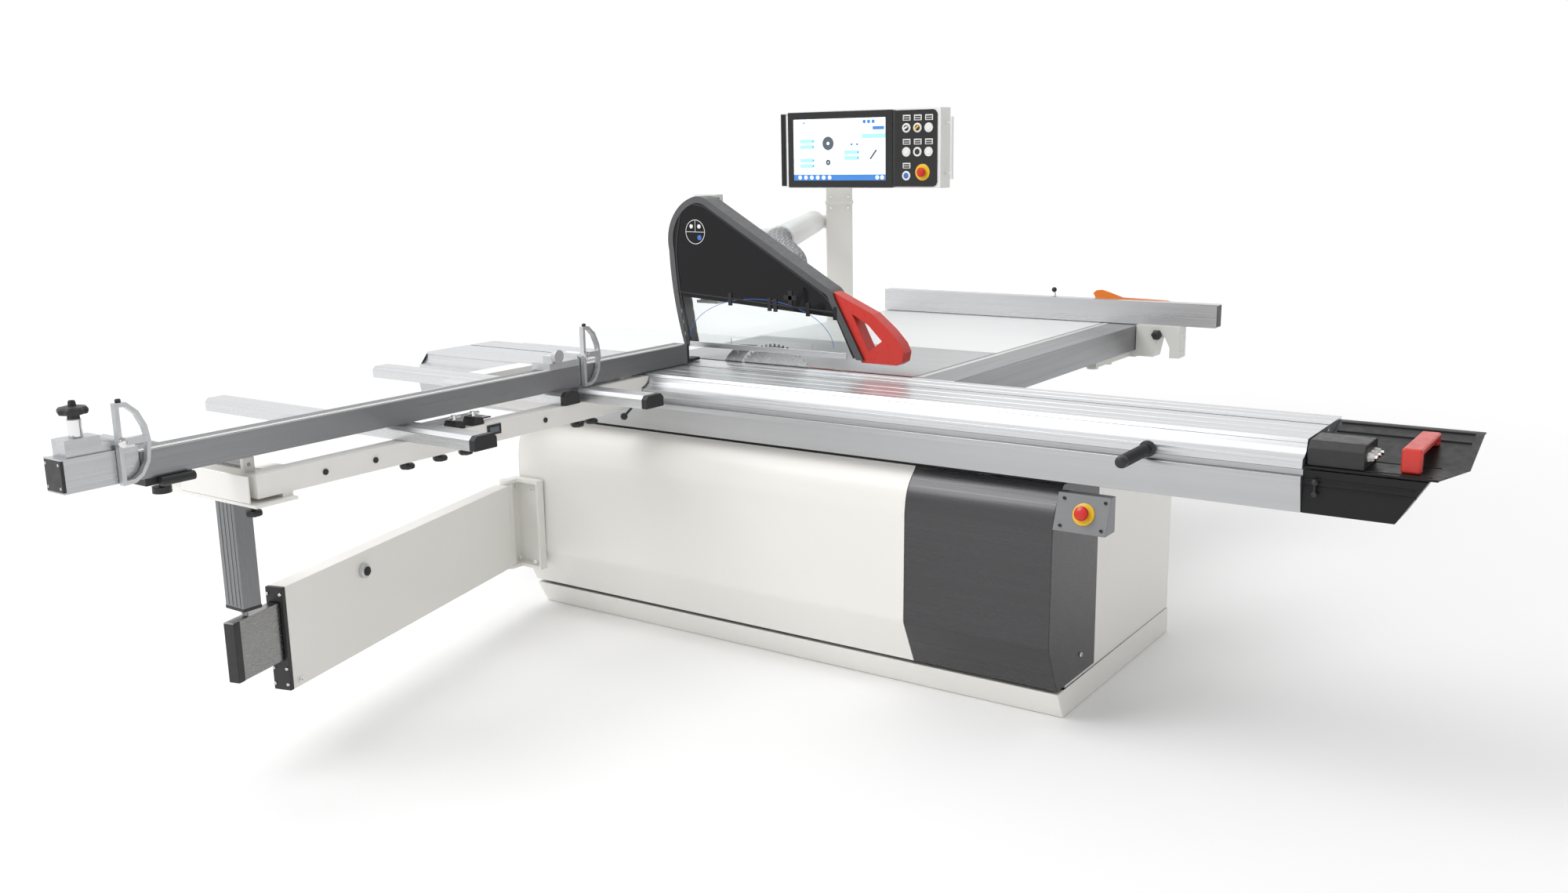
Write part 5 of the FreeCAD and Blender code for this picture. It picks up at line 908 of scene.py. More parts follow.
@dataclass
class Base:
    """Plinth, cabinet, covers, beams, feet and the rear services."""

    screw_radius: float = 0.007
    louvre_pitch: float = 0.022
    cover_sheet: float = 0.004
    column_foot: Point = (-0.785, 1.649, 0.0)
    column_turn: float = 35.0
    bracket_face: float = -0.4550
    door_span: tuple[float, float] = (0.14, 0.70)
    port_height: float = 0.30
    cover_line: tuple[tuple[float, float], ...] = (
        (-0.348, 0.702), (-0.4048, 0.640), (-0.4158, 0.575), (-0.4218, 0.237), (-0.356, 0.096))
    cover_bends: tuple[float, ...] = (0.11, 0.16, 0.045)

    def build(self) -> None:
        """Dress the steelwork and add its small parts."""
        eased("plinth", WARM_WHITE, 0.004)
        self.cover("front_cover", COVER_WHITE, -1)
        self.cover("motor_cover", DARK_COVER, 1)
        eased("guide_beam", SHADED_BEAM_ALU, 0.0012)
        eased("beam_end_cover", TRAY_BLACK, 0.004)
        eased("estop_panel", PANEL_GREY, 0.0012)
        eased("swing_bracket", WARM_WHITE, 0.003)
        eased("column", WARM_WHITE, 0.003)
        eased("duct_arm", PIPE_WHITE, 0.003)
        eased("table_supports", WARM_WHITE, 0.004)
        dress("base_frame", WARM_WHITE)
        self.lids()
        self.rear_panel()
        self.bolts()
        self.seals()

    def cover(self, node: str, finish: Finish, side: int) -> None:
        """Folded sheet with generous bends and one end plate.

        The fold line runs from the top edge over the shoulder, down the face and back under
        the belly; every bend has its own radius, and the sheet is that line and its offset.

        Args:
            node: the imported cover.
            finish: its finish.
            side: which end is closed, -1 for the lower X and 1 for the upper.
        """
        low, high = corners(node)
        line = rounded(list(self.cover_line), list(self.cover_bends), 10)
        sheet = prism(line + offset(line, self.cover_sheet)[::-1], Axis.X,
                      (low[0] + 0.0002, high[0] - 0.0002))
        end = low[0] if side < 0 else high[0] - self.cover_sheet
        plate = prism([(high[1], line[0][1])] + line + [(high[1], line[-1][1])], Axis.X,
                      (end, end + self.cover_sheet))
        make(f"{node}_folded", joined([sheet, plate]), finish, fit_of(node, True), 0.0012)

    def lids(self) -> None:
        """Sheet lids over the cabinet's open bays, let in just under its rear wall's rim."""
        low, high = corners("base_frame")
        mesh = frame["nodes"]["base_frame"].data
        rim = max(vertex.co.z for vertex in mesh.vertices
                  if vertex.co.x > 0.8 and vertex.co.y > high[1] - 0.001)
        sheets = [cuboid((left, -0.232, rim - 0.006), (right, high[1] - 0.004, rim - 0.003))
                  for left, right in ((low[0] + 0.004, -0.50), (0.70, high[0] - 0.004))]
        make("cabinet_lids", joined(sheets), WARM_WHITE, Fit("machine", "frame_white"), 0.001)

    def rear_panel(self) -> None:
        """Rear doors with turned-out louvres, a lock each, and the dust port."""
        low, high = corners("base_frame")
        back = high[1]
        doors = []
        slats = []
        for left, right in ((low[0] + 0.05, -0.36), (0.36, high[0] - 0.05)):
            doors.append(cuboid((left, back, self.door_span[0]),
                                (right, back + 0.004, self.door_span[1])))
            for row in range(8):
                z = 0.20 + row * self.louvre_pitch
                slats.append(prism(
                    [(back + 0.004, z), (back + 0.011, z + 0.003), (back + 0.004, z + 0.013)],
                    Axis.X, (left + 0.12, right - 0.12),
                ))
        make("rear_doors", joined(doors), COVER_WHITE, Fit("machine", "cover_white"), 0.0015)
        make("rear_louvres", joined(slats), COVER_WHITE, Fit("machine", "cover_white"))
        locks = [turned([(0.014, 0), (0.014, 0.005), (0.011, 0.007), (0.004, 0.007)],
                        (x, back + 0.004, 0.62), (0, 1, 0)) for x in (-0.42, 0.42)]
        make("rear_locks", joined(locks), BLACK, Fit("machine", "black_plastic"))
        port = turned([(0.066, 0), (0.066, 0.006), (0.061, 0.008), (0.061, 0.055),
                       (0.058, 0.057), (0.054, 0.055), (0.054, 0.0)],
                      (0.0, back, self.port_height), (0, 1, 0), 48, looped=True)
        make("dust_port", port, STEEL, Fit("machine", "bright_steel"))

    def bolts(self) -> None:
        """Screws of the covers, the column foot and collar, and the bracket."""
        heads = []
        side = math.radians(self.column_turn)
        across = np.array([math.cos(side), math.sin(side), 0])
        away = np.array([math.sin(side), -math.cos(side), 0])
        centre = np.array(self.column_foot)
        for u in (-1, 1):
            for v in (-1, 1):
                foot = centre + across * 0.105 * u + away * 0.105 * v + (0, 0, 0.012)
                heads.append(screw(tuple(foot), (0, 0, 1), 0.010))
            for z in (1.355, 1.405):
                spot = centre + away * 0.0605 + across * 0.04 * u + (0, 0, z)
                heads.append(screw(tuple(spot), tuple(away), 0.006))
        bracket_low, bracket_high = corners("swing_bracket")
        for x in (bracket_low[0] + 0.045, bracket_high[0] - 0.02):
            for z in (bracket_low[2] + 0.03, bracket_high[2] - 0.03):
                heads.append(screw((x, self.bracket_face, z), (0, -1, 0), self.screw_radius))
        end = corners("motor_cover")[1][0]
        for z in (0.16, 0.62):
            heads.append(screw((end, -0.20, z), (1, 0, 0), self.screw_radius))
        make("base_screws", joined(heads), CHROME, Fit("machine", "chrome"))

    def seals(self) -> None:
        """Dark rubber lips where the covers meet the cabinet and the beam."""
        low, _ = corners("front_cover")
        lip = cuboid((low[0] + 0.004, -0.345, 0.7025), (1.203, -0.300, 0.7165))
        make("cover_seal", lip, RUBBER, Fit("machine", "belt_rubber"), 0.001)


@dataclass
class Tables:
    """Grooved cast table, laminate boards, rip rail and the red insert."""

    groove_pitch: float = 0.0125
    groove_depth: float = 0.0006
    plate: float = 0.015
    rim: float = 0.015
    rib_front: float = 0.06
    rib_place: float = 0.30
    insert_start: float = 0.136

    def build(self) -> None:
        """Make the worktop pieces."""
        self.cast_table()
        eased("extension_table", BOARD, 0.002)
        eased("outfeed_table", BOARD, 0.002)
        self.rail()
        self.insert()

    def cast_table(self) -> None:
        """Cast slab whose top is a comb of long shallow grooves along X, on a ribbed rim."""
        low, high = corners("main_table")
        count = int((high[1] - low[1]) / self.groove_pitch)
        top = high[2]
        floor = top - self.groove_depth
        outline = [(low[1], top - self.plate), (low[1], top)]
        pitch = (high[1] - low[1]) / count
        for index in range(1, count):
            y = low[1] + index * pitch
            outline += [(y - 0.0012, top), (y - 0.0006, floor), (y + 0.0006, floor),
                        (y + 0.0012, top)]
        outline += [(high[1], top), (high[1], top - self.plate)]
        slab = prism(outline, Axis.X, (low[0], high[0]))
        rim, front, rib = self.rim, self.rib_front, self.rib_place
        under = top - self.plate - 0.0002
        ribs = [
            cuboid((low[0], front, low[2]), (low[0] + rim, high[1], under)),
            cuboid((high[0] - rim, front, low[2]), (high[0], high[1], under)),
            cuboid((low[0] + rim, high[1] - rim, low[2]), (high[0] - rim, high[1], under)),
            cuboid((low[0] + rim, rib, low[2]), (high[0] - rim, rib + rim, under)),
        ]
        make("cast_table", slab, GROUND_TABLE, fit_of("main_table", True))
        make("cast_table_ribs", joined(ribs), GROUND_TABLE, fit_of("main_table"), 0.002)

    def rail(self) -> None:
        """Rip rail with a scale strip let into its top and a plate on its front end."""
        eased("rail_bar", SHADED_SIDE_ALU, 0.007, 3)
        low, high = corners("rail_bar")
        strip = cuboid((low[0] + 0.012, low[1] + 0.02, high[2] - 0.0002),
                       (low[0] + 0.032, high[1] - 0.02, high[2] + 0.0004))
        make("rail_scale", strip, SCALE_Y, fit_of("rail_bar"))
        cap = cuboid((low[0] + 0.004, low[1], low[2] + 0.004),
                     (high[0] - 0.004, low[1] + 0.003, high[2] - 0.004))
        make("rail_cap", cap, ALU_X, fit_of("rail_bar"), 0.001)

    def insert(self) -> None:
        """Red table insert beside the blade, flush with the table."""
        low, high = corners("main_table")
        strip = cuboid((self.insert_start, low[1] + 0.0004, high[2] - 0.0004),
                       (high[0] - 0.002, low[1] + 0.014, high[2] + 0.0006))
        make("red_insert", strip, RED, Fit("machine", "red_plastic"), 0.0004)


@dataclass
class Hose:
    """Ribbed, sleeved suction hose from the duct to the guard's spigot."""

    radius: float = 0.046
    rib: float = 0.0022
    rib_count: int = 34
    around: int = 48
    duct_mouth: Point = (-0.30, 0.47, 1.29)
    spigot: Point = (-0.06, 0.086, 1.225)
    column: Point = (-0.785, 1.649, 1.29)
    column_turn: float = 35.0
    duct_offset: float = 0.118
    lift_start: Point = (-0.262, 0.40, 1.29)
    lift_end: Point = (-0.075, 0.13, 1.235)

    def route(self) -> np.ndarray:
        """Centre line: a NURBS through the duct's mouth, its corner points and the spigot."""
        turn = math.radians(self.column_turn)
        start = np.array(self.duct_mouth)
        root = np.array(self.column) - self.duct_offset * np.array(
            [math.cos(turn), math.sin(turn), 0])
        way = start - root
        way = way / np.linalg.norm(way)
        mouth = np.array(self.spigot)
        hand = [start, start + way * 0.07, start + way * 0.15, mouth + (0, 0.15, 0),
                mouth + (0, 0.07, 0), mouth]
        curve = bpy.data.curves.new("hose_route", "CURVE")
        curve.dimensions = "3D"
        spline = curve.splines.new("NURBS")
        spline.points.add(len(hand) - 1)
        for point, spot in zip(spline.points, hand):
            point.co = (*spot, 1.0)
        spline.order_u = 3
        spline.use_endpoint_u = True
        spline.resolution_u = 24
        holder = bpy.data.objects.new("hose_route", curve)
        mesh = bpy.data.meshes.new_from_object(holder)
        line = np.empty(len(mesh.vertices) * 3)
        mesh.vertices.foreach_get("co", line)
        bpy.data.meshes.remove(mesh)
        bpy.data.objects.remove(holder)
        bpy.data.curves.remove(curve)
        return line.reshape(-1, 3)

    def build(self) -> None:
        """Carry a circle along the route; its radius ripples with the spiral's ribs."""
        line = self.route()
        run = np.concatenate([[0], np.cumsum(np.linalg.norm(np.diff(line, axis=0), axis=1))])
        steps = self.rib_count * 6
        where = np.linspace(0, run[-1], steps + 1)
        path = np.stack([np.interp(where, run, line[:, k]) for k in range(3)], 1)
        tangent = np.gradient(path, axis=0)
        tangent /= np.linalg.norm(tangent, axis=1)[:, None]
        side = np.cross(tangent, (0, 0, 1.0))
        side /= np.linalg.norm(side, axis=1)[:, None]
        rise = np.cross(side, tangent)
        angle = np.linspace(0, 2 * math.pi, self.around, endpoint=False)
        ripple = self.radius - self.rib * (1 + np.cos(where / run[-1] * self.rib_count
                                                      * 2 * math.pi)) / 2
        ring = (side[:, None] * np.cos(angle)[None, :, None]
                + rise[:, None] * np.sin(angle)[None, :, None])
        points = path[:, None] + ring * ripple[:, None, None]
        hose = make("suction_hose", rings(points), HOSE,
                    Fit("", "grey_hose", ("extraction_hose",)))
        self.unwrap(hose.data, run[-1])
        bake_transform(hose)
        self.clamps(path, tangent)

    def unwrap(self, mesh: bpy.types.Mesh, length: float) -> None:
        """UV map: U around the hose and V along it, both in strand widths."""
        layer = mesh.uv_layers.new(name="sleeve")
        index = np.empty(len(mesh.loops), int)
        mesh.loops.foreach_get("vertex_index", index)
        around = (index % self.around) / self.around
        along = (index // self.around) / (self.rib_count * 6) * length / (
            2 * math.pi * self.radius)
        start = np.empty(len(mesh.polygons), int)
        total = np.empty(len(mesh.polygons), int)
        mesh.polygons.foreach_get("loop_start", start)
        mesh.polygons.foreach_get("loop_total", total)
        highest = np.maximum.reduceat(around, start)
        lowest = np.minimum.reduceat(around, start)
        seam = np.repeat((highest - lowest > 0.5) & (total == 4), total)
        around = np.where(seam & (around < 0.5), around + 1, around)
        layer.uv.foreach_set("vector", np.stack([around, along], 1).ravel())

    def clamps(self, path: np.ndarray, tangent: np.ndarray) -> None:
        """Worm-drive clamp bands at both ends of the hose."""
        for name, index, body in (("duct_clamp", 3, "machine"), ("spigot_clamp", -4, "guard")):
            band = hoop(self.radius - 0.001, self.radius + 0.0015, (-0.006, 0.006),
                        tuple(path[index]), tuple(tangent[index]), 48)
            make(name, band, CHROME, Fit(body, "chrome"))


@dataclass
class Guard:
    """Overhead hood: cast band, smoked and clear sheets, red handle and its small parts."""

    dial: Point = (-0.309, -0.0305, 1.346)
    dial_radius: float = 0.042
    gasket_width: float = 0.0075
    clip_places: tuple[float, ...] = (-0.165, 0.0, 0.024, 0.155, 0.262)
    arc_centre: tuple[float, float] = (-0.045, 0.975)
    arc_half: tuple[float, float] = (0.300, 0.150)

    def build(self) -> None:
        """Dress the hood and add the gasket, dial, studs, shield edge and skirt."""
        eased("guard_frame", GUARD_SILVER, 0.008, 4)
        eased("guard_handle", RED, 0.009, 4)
        dress("guard_smoked_panel", SMOKED)
        dress("guard_clear_panel", CLEAR)
        self.gasket()
        self.round_dial()
        self.studs()
        self.shield_edge()

    def gasket(self) -> None:
        """Black rubber lip inside the silver band.

        The band's inner line runs up the rear edge, over the crown and down the long slope to
        the front; the lip is the strip between it and its offset.
        """
        line = rounded(
            [(-0.345, 0.952), (-0.386, 1.120), (-0.4045, 1.290), (-0.366, 1.452),
             (-0.268, 1.4385), (0.212, 1.161), (0.2465, 1.130), (0.3365, 0.952)],
            [0.6, 0.4, 0.12, 0.10, 0.06, 0.05], 12)
        inner = np.asarray(offset(line, -self.gasket_width), float)
        lip = ribbon(np.asarray(line, float), inner, -0.0315, -0.0265)
        make("guard_gasket", lip, BLACK_GLOSS, Fit("guard", "black_plastic"))

    def round_dial(self) -> None:
        """Thin pale ring with a cross bar on the smoked sheet, as a plain setting dial."""
        x, y, z = self.dial
        r = self.dial_radius
        ring = hoop(r - 0.002, r, (0, 0.0008), (x, y, z), (0, -1, 0), 64)
        bars = [cuboid((x - r + 0.001, y - 0.0007, z - 0.0008),
                       (x + r - 0.001, y, z + 0.0008)),
                cuboid((x - 0.0008, y - 0.0007, z), (x + 0.0008, y, z + r - 0.001))]
        discs = [turned([(0.008, 0), (0.008, 0.0008), (0.002, 0.0008)],
                        (x + dx, y, z + 0.019), (0, -1, 0), 6) for dx in (-0.017, 0.017)]
        fit = Fit("guard", "key_white")
        make("guard_dial", joined([ring, *bars, *discs]), KEY_WHITE, fit)
        dot = turned([(0.009, 0), (0.009, 0.0008), (0.002, 0.0008)],
                     (x + 0.018, y, z - 0.019), (0, -1, 0), 24)
        make("guard_dial_dot", dot, DOT_BLUE, fit)

    def studs(self) -> None:
        """Black clips and rail that hang the clear sheet, and a cross-shaped handle."""
        clips = []
        for x in self.clip_places:
            z = 1.128 - (x + 0.409) * 0.064
            clips.append(cuboid((x - 0.0075, -0.0335, z - 0.014),
                                (x + 0.0075, -0.0265, z + 0.030)))
        rail = prism([(-0.395, 1.134), (0.262, 1.092), (0.262, 1.098), (-0.395, 1.140)],
                     Axis.Y, (-0.0325, -0.0272))
        cross = [cuboid((0.058, -0.0330, 1.128), (0.112, -0.0272, 1.144)),
                 cuboid((0.077, -0.0330, 1.112), (0.093, -0.0272, 1.160))]
        make("guard_clips", joined([*clips, rail, *cross]), BLACK_GLOSS,
             Fit("guard", "black_plastic"), 0.0012)

    def shield_edge(self) -> None:
        """Edge of the inner shield as a thin bluish line, and the metal skirt below it.

        The line follows half an ellipse: centre plus half-width times cosine and half-height
        times sine of an angle from 0 to half a turn.
        """
        angle = np.linspace(0.02, math.pi - 0.02, 90)
        ray = np.stack([np.cos(angle), np.sin(angle)], 1)
        arc = np.array(self.arc_centre) + np.array(self.arc_half) * ray
        edge = ribbon(arc - 0.0009 * ray, arc + 0.0009 * ray, -0.0309, -0.0301)
        make("shield_edge", edge, DOT_BLUE, Fit("guard", "clear_panel"))
        skirt = cuboid((-0.345, -0.0335, 0.947), (0.306, -0.0305, 0.965))
        make("guard_skirt", skirt, ALU_X, Fit("guard", "aluminium"), 0.0008)


@dataclass
class Console:
    """Swivelling console: rounded shell, bezel, screen picture, key pad and stop button."""

    front: float = 1.343
    bezel: float = 0.005
    key_corner: tuple[float, float] = (-0.250, 1.700)
    key_pitch: tuple[float, float] = (0.053, 0.098)
    field_places: tuple[tuple[float, float], ...] = (
        (-0.787, 1.653), (-0.787, 1.629), (-0.787, 1.571), (-0.787, 1.547),
        (-0.557, 1.604), (-0.557, 1.580))
    disc_place: float = -0.640

    def build(self) -> None:
        """Make the shell, its face and the controls."""
        eased("console_shell", CONSOLE_GREY, 0.010, 4)
        self.face()
        self.picture()
        self.pad()
        self.stop()

    def plate(self, name: str, x: tuple[float, float], z: tuple[float, float], lift: float,
              finish: Finish, thick: float = 0.001, bevel: float = 0.0) -> None:
        """A flat plate on the console's face.

        Args:
            name: the piece's name.
            x: left and right edge.
            z: lower and upper edge.
            lift: how far it starts in front of the shell.
            finish: its finish.
            thick: its thickness.
            bevel: width of its rounded edges.
        """
        y = self.front - lift
        shell = cuboid((x[0], y - thick, z[0]), (x[1], y, z[1]))
        make(name, shell, finish, Fit("console", "console_grey"), bevel)

    def face(self) -> None:
        """Black bezel, key panel with rounded corners, and the ribbed grip strip."""
        self.plate("bezel", (-0.852, -0.318), (1.455, 1.777), 0.0, BLACK_GLOSS, self.bezel,
                   0.004)
        self.plate("side_panel", (-0.3175, -0.306), (1.457, 1.775), 0.0, BLACK, 0.0025, 0.001)
        corner = rounded([(-0.306, 1.459), (-0.106, 1.459), (-0.106, 1.773), (-0.306, 1.773)],
                         [0.022, 0.022], 8)
        panel = prism(corner, Axis.Y, (self.front - 0.0035, self.front))
        make("key_panel", panel, BLACK_GLOSS, Fit("console", "console_grey"), 0.0006)
        ribs = [rod((x, 1.3505, 1.460), (x, 1.3505, 1.772), 0.0042, 12)
                for x in (-0.8915, -0.8825, -0.8735)]
        make("grip_ribs", joined(ribs), BLACK, Fit("console", "black_plastic"))
        ends = [cuboid((-0.8975, 1.347, z0), (-0.8540, 1.355, z1))
                for z0, z1 in ((1.4535, 1.4605), (1.7715, 1.7785))]
        make("grip_ends", joined(ends), CONSOLE_GREY, Fit("console", "console_grey"), 0.001)

    def picture(self) -> None:
        """Generic control picture: pale page, bars, fields, two toothed discs and marks."""
        face = self.bezel
        y = self.front - face - 0.001
        fit = Fit("console", "console_grey")
        self.plate("screen_page", (-0.820, -0.352), (1.485, 1.747), face, SCREEN)
        self.plate("screen_foot", (-0.820, -0.352), (1.485, 1.510), face + 0.001, SCREEN_BLUE,
                   0.0003)
        self.plate("screen_button", (-0.415, -0.358), (1.697, 1.711), face + 0.001, SCREEN_BLUE,
                   0.0003)
        fields = []
        marks = []
        for x, z in self.field_places:
            fields.append(cuboid((x, y - 0.0003, z - 0.008), (x + 0.075, y, z + 0.008)))
            marks.append(cuboid((x + 0.066, y - 0.0005, z - 0.003),
                                (x + 0.072, y - 0.0003, z + 0.003)))
        fields.append(cuboid((-0.468, y - 0.0003, 1.662), (-0.352, y, 1.680)))
        lines = [cuboid((-0.590, y - 0.0002, 1.512), (-0.588, y, 1.695)),
                 cuboid((-0.812, y - 0.0002, 1.599), (-0.594, y, 1.601)),
                 cuboid((-0.820, y - 0.0002, 1.690), (-0.352, y, 1.6915)),
                 cuboid((-0.570, y - 0.0002, 1.535), (-0.470, y, 1.536))]
        make("screen_fields", joined(fields + lines), SCREEN_SKY, fit)
        for index in range(3):
            marks.append(turned([(0.008, 0), (0.008, 0.0004), (0.002, 0.0004)],
                                (-0.456 + 0.022 * index, y, 1.731), (0, -1, 0), 20))
        marks.append(turned([(0.0042, 0), (0.0042, 0.0004), (0.001, 0.0004)],
                            (-0.765, y, 1.731), (0, -1, 0), 16))
        marks += [rod((x, y, 1.637), (x, y - 0.0006, 1.637), 0.0052, 14)
                  for x in (-0.520, -0.492)]
        make("screen_marks", joined(marks), SCREEN_BLUE, fit)
        icons = [turned([(0.009, 0), (0.009, 0.0005), (0.003, 0.0005)],
                        (x, y - 0.0003, 1.4975), (0, -1, 0), 20)
                 for x in (-0.788, -0.757, -0.726, -0.695, -0.664, -0.633, -0.392, -0.368)]
        make("screen_icons", joined(icons), SCREEN, fit)
        discs = []
        hubs = []
        for z, r, teeth in ((1.643, 0.029, 26), (1.562, 0.012, 16)):
            spot = (self.disc_place, y, z)
            discs.append(turned([(r, 0), (r, 0.0004), (r * 0.2, 0.0004)], spot, (0, -1, 0),
                                teeth * 4, teeth, 0.06))
            hubs.append(turned([(r * 0.24, 0), (r * 0.24, 0.0006), (r * 0.1, 0.0006)], spot,
                               (0, -1, 0), 20))
        slope = prism([(-0.430, 1.577), (-0.424, 1.572), (-0.392, 1.611), (-0.400, 1.614)],
                      Axis.Y, (y - 0.0004, y))
        make("screen_discs", joined([*discs, slope]), SCREEN_GREY, fit)
        make("screen_hubs", joined(hubs), SCREEN, fit)

    def pad(self) -> None:
        """Raised key rings, coloured caps, two selectors and the picture plates above."""
        piles: dict[str, list[Shell]] = {"rings": [], "white": [], "black": [], "blue": []}
        places = [(column, row) for row in range(3) for column in range(3)
                  if row < 2 or column == 0]
        inks = {(0, 0): "black", (1, 0): "black", (1, 1): "black", (0, 2): "blue"}
        plates = []
        prints = []
        for column, row in places:
            x = self.key_corner[0] + column * self.key_pitch[0]
            z = self.key_corner[1] - row * self.key_pitch[1]
            spot = (x, self.front, z)
            piles["rings"].append(hoop(0.0122, 0.0195, (0.0028, 0.0095), spot, (0, -1, 0)))
            cap = turned([(0.0119, -0.002), (0.0119, 0.0085), (0.0105, 0.0105),
                          (0.003, 0.0109)], spot, (0, -1, 0), 32)
            piles[inks.get((column, row), "white")].append(cap)
            plates.append(cuboid((x - 0.018, 1.3385, z + 0.030), (x + 0.018, 1.3397, z + 0.053)))
            prints += [cuboid((x - 0.014, 1.3379, z + 0.033 + lift),
                              (x + 0.014, 1.3386, z + 0.039 + lift)) for lift in (0, 0.009)]
        make("key_rings", joined(piles["rings"]), KEY_WHITE, Fit("console", "key_white"))
        make("key_caps", joined(piles["white"]), KEY_WHITE, fit_of("console_keys", True))
        make("key_caps_black", joined(piles["black"]), BLACK, fit_of("console_keys"))
        make("key_cap_blue", joined(piles["blue"]), DOT_BLUE, fit_of("console_keys"))
        make("key_plates", joined(plates), CONSOLE_GREY, Fit("console", "console_grey"), 0.0003)
        make("key_prints", joined(prints), BLACK, Fit("console", "black_plastic"))
        for name, x, lean, finish in (("selector_white", -0.250, 0.55, KEY_WHITE),
                                      ("selector_yellow", -0.197, 0.7, YELLOW)):
            way = np.array([math.cos(lean), 0, math.sin(lean)])
            side = np.array([-way[2], 0, way[0]]) * 0.0036
            spot = np.array([x, 0, self.key_corner[1]])
            ring = np.array([spot - way * 0.011 - side, spot + way * 0.011 - side,
                             spot + way * 0.011 + side, spot - way * 0.011 + side])
            stack = np.stack([ring + (0, 1.3330, 0), ring + (0, 1.3245, 0)])
            make(name, rings(stack), finish, fit_of("console_keys"), 0.0012)

    def stop(self) -> None:
        """Red mushroom over a yellow collar."""
        centre = (-0.174, self.front, 1.518)
        collar = turned([(0.0098, 0.003), (0.034, 0.003), (0.034, 0.0045), (0.030, 0.0058),
                         (0.0098, 0.0058)], centre, (0, -1, 0), 48)
        make("console_stop_collar", collar, YELLOW, Fit("console", "red_button"))
        cap = turned([(0.0088, -0.005), (0.0088, 0.012), (0.0165, 0.0125), (0.019, 0.015),
                      (0.019, 0.020), (0.0165, 0.0238), (0.010, 0.0257), (0.003, 0.026)],
                     centre, (0, -1, 0), 48)
        make("console_stop_cap", cap, BUTTON_RED, fit_of("console_estop", True))


@dataclass
class BaseStop:
    """Emergency stop on its tilted plate at the infeed end of the cabinet."""

    lean: float = 20.807
    centre: Point = (1.290, -0.401, 0.640)
    screw_places: tuple[tuple[float, ...], ...] = ((-0.062, 0.056), (-0.038, 0.038))

    def build(self) -> None:
        """Mushroom, yellow collar and plate screws, square to the tilted plate."""
        a = math.radians(self.lean)
        out = np.array([0, -math.cos(a), math.sin(a)])
        centre = np.array(self.centre)
        collar = turned([(0.0118, 0), (0.031, 0), (0.031, 0.003), (0.026, 0.005),
                         (0.0118, 0.005)], tuple(centre), tuple(out), 48)
        make("base_stop_collar", collar, YELLOW, Fit("machine", "red_button"))
        cap = turned([(0.0108, -0.010), (0.0108, 0.014), (0.0175, 0.0145), (0.020, 0.0175),
                      (0.020, 0.022), (0.0172, 0.027), (0.010, 0.0297), (0.003, 0.030)],
                     tuple(centre), tuple(out), 48)
        make("base_stop_cap", cap, BUTTON_RED, fit_of("base_estop", True))
        along = np.array([0, math.sin(a), math.cos(a)])
        heads = [screw(tuple(centre + np.array([x, 0, 0]) + along * z), tuple(out), 0.0045)
                 for x in self.screw_places[0] for z in self.screw_places[1]]
        make("base_stop_screws", joined(heads), BLACK, Fit("machine", "black_plastic"))


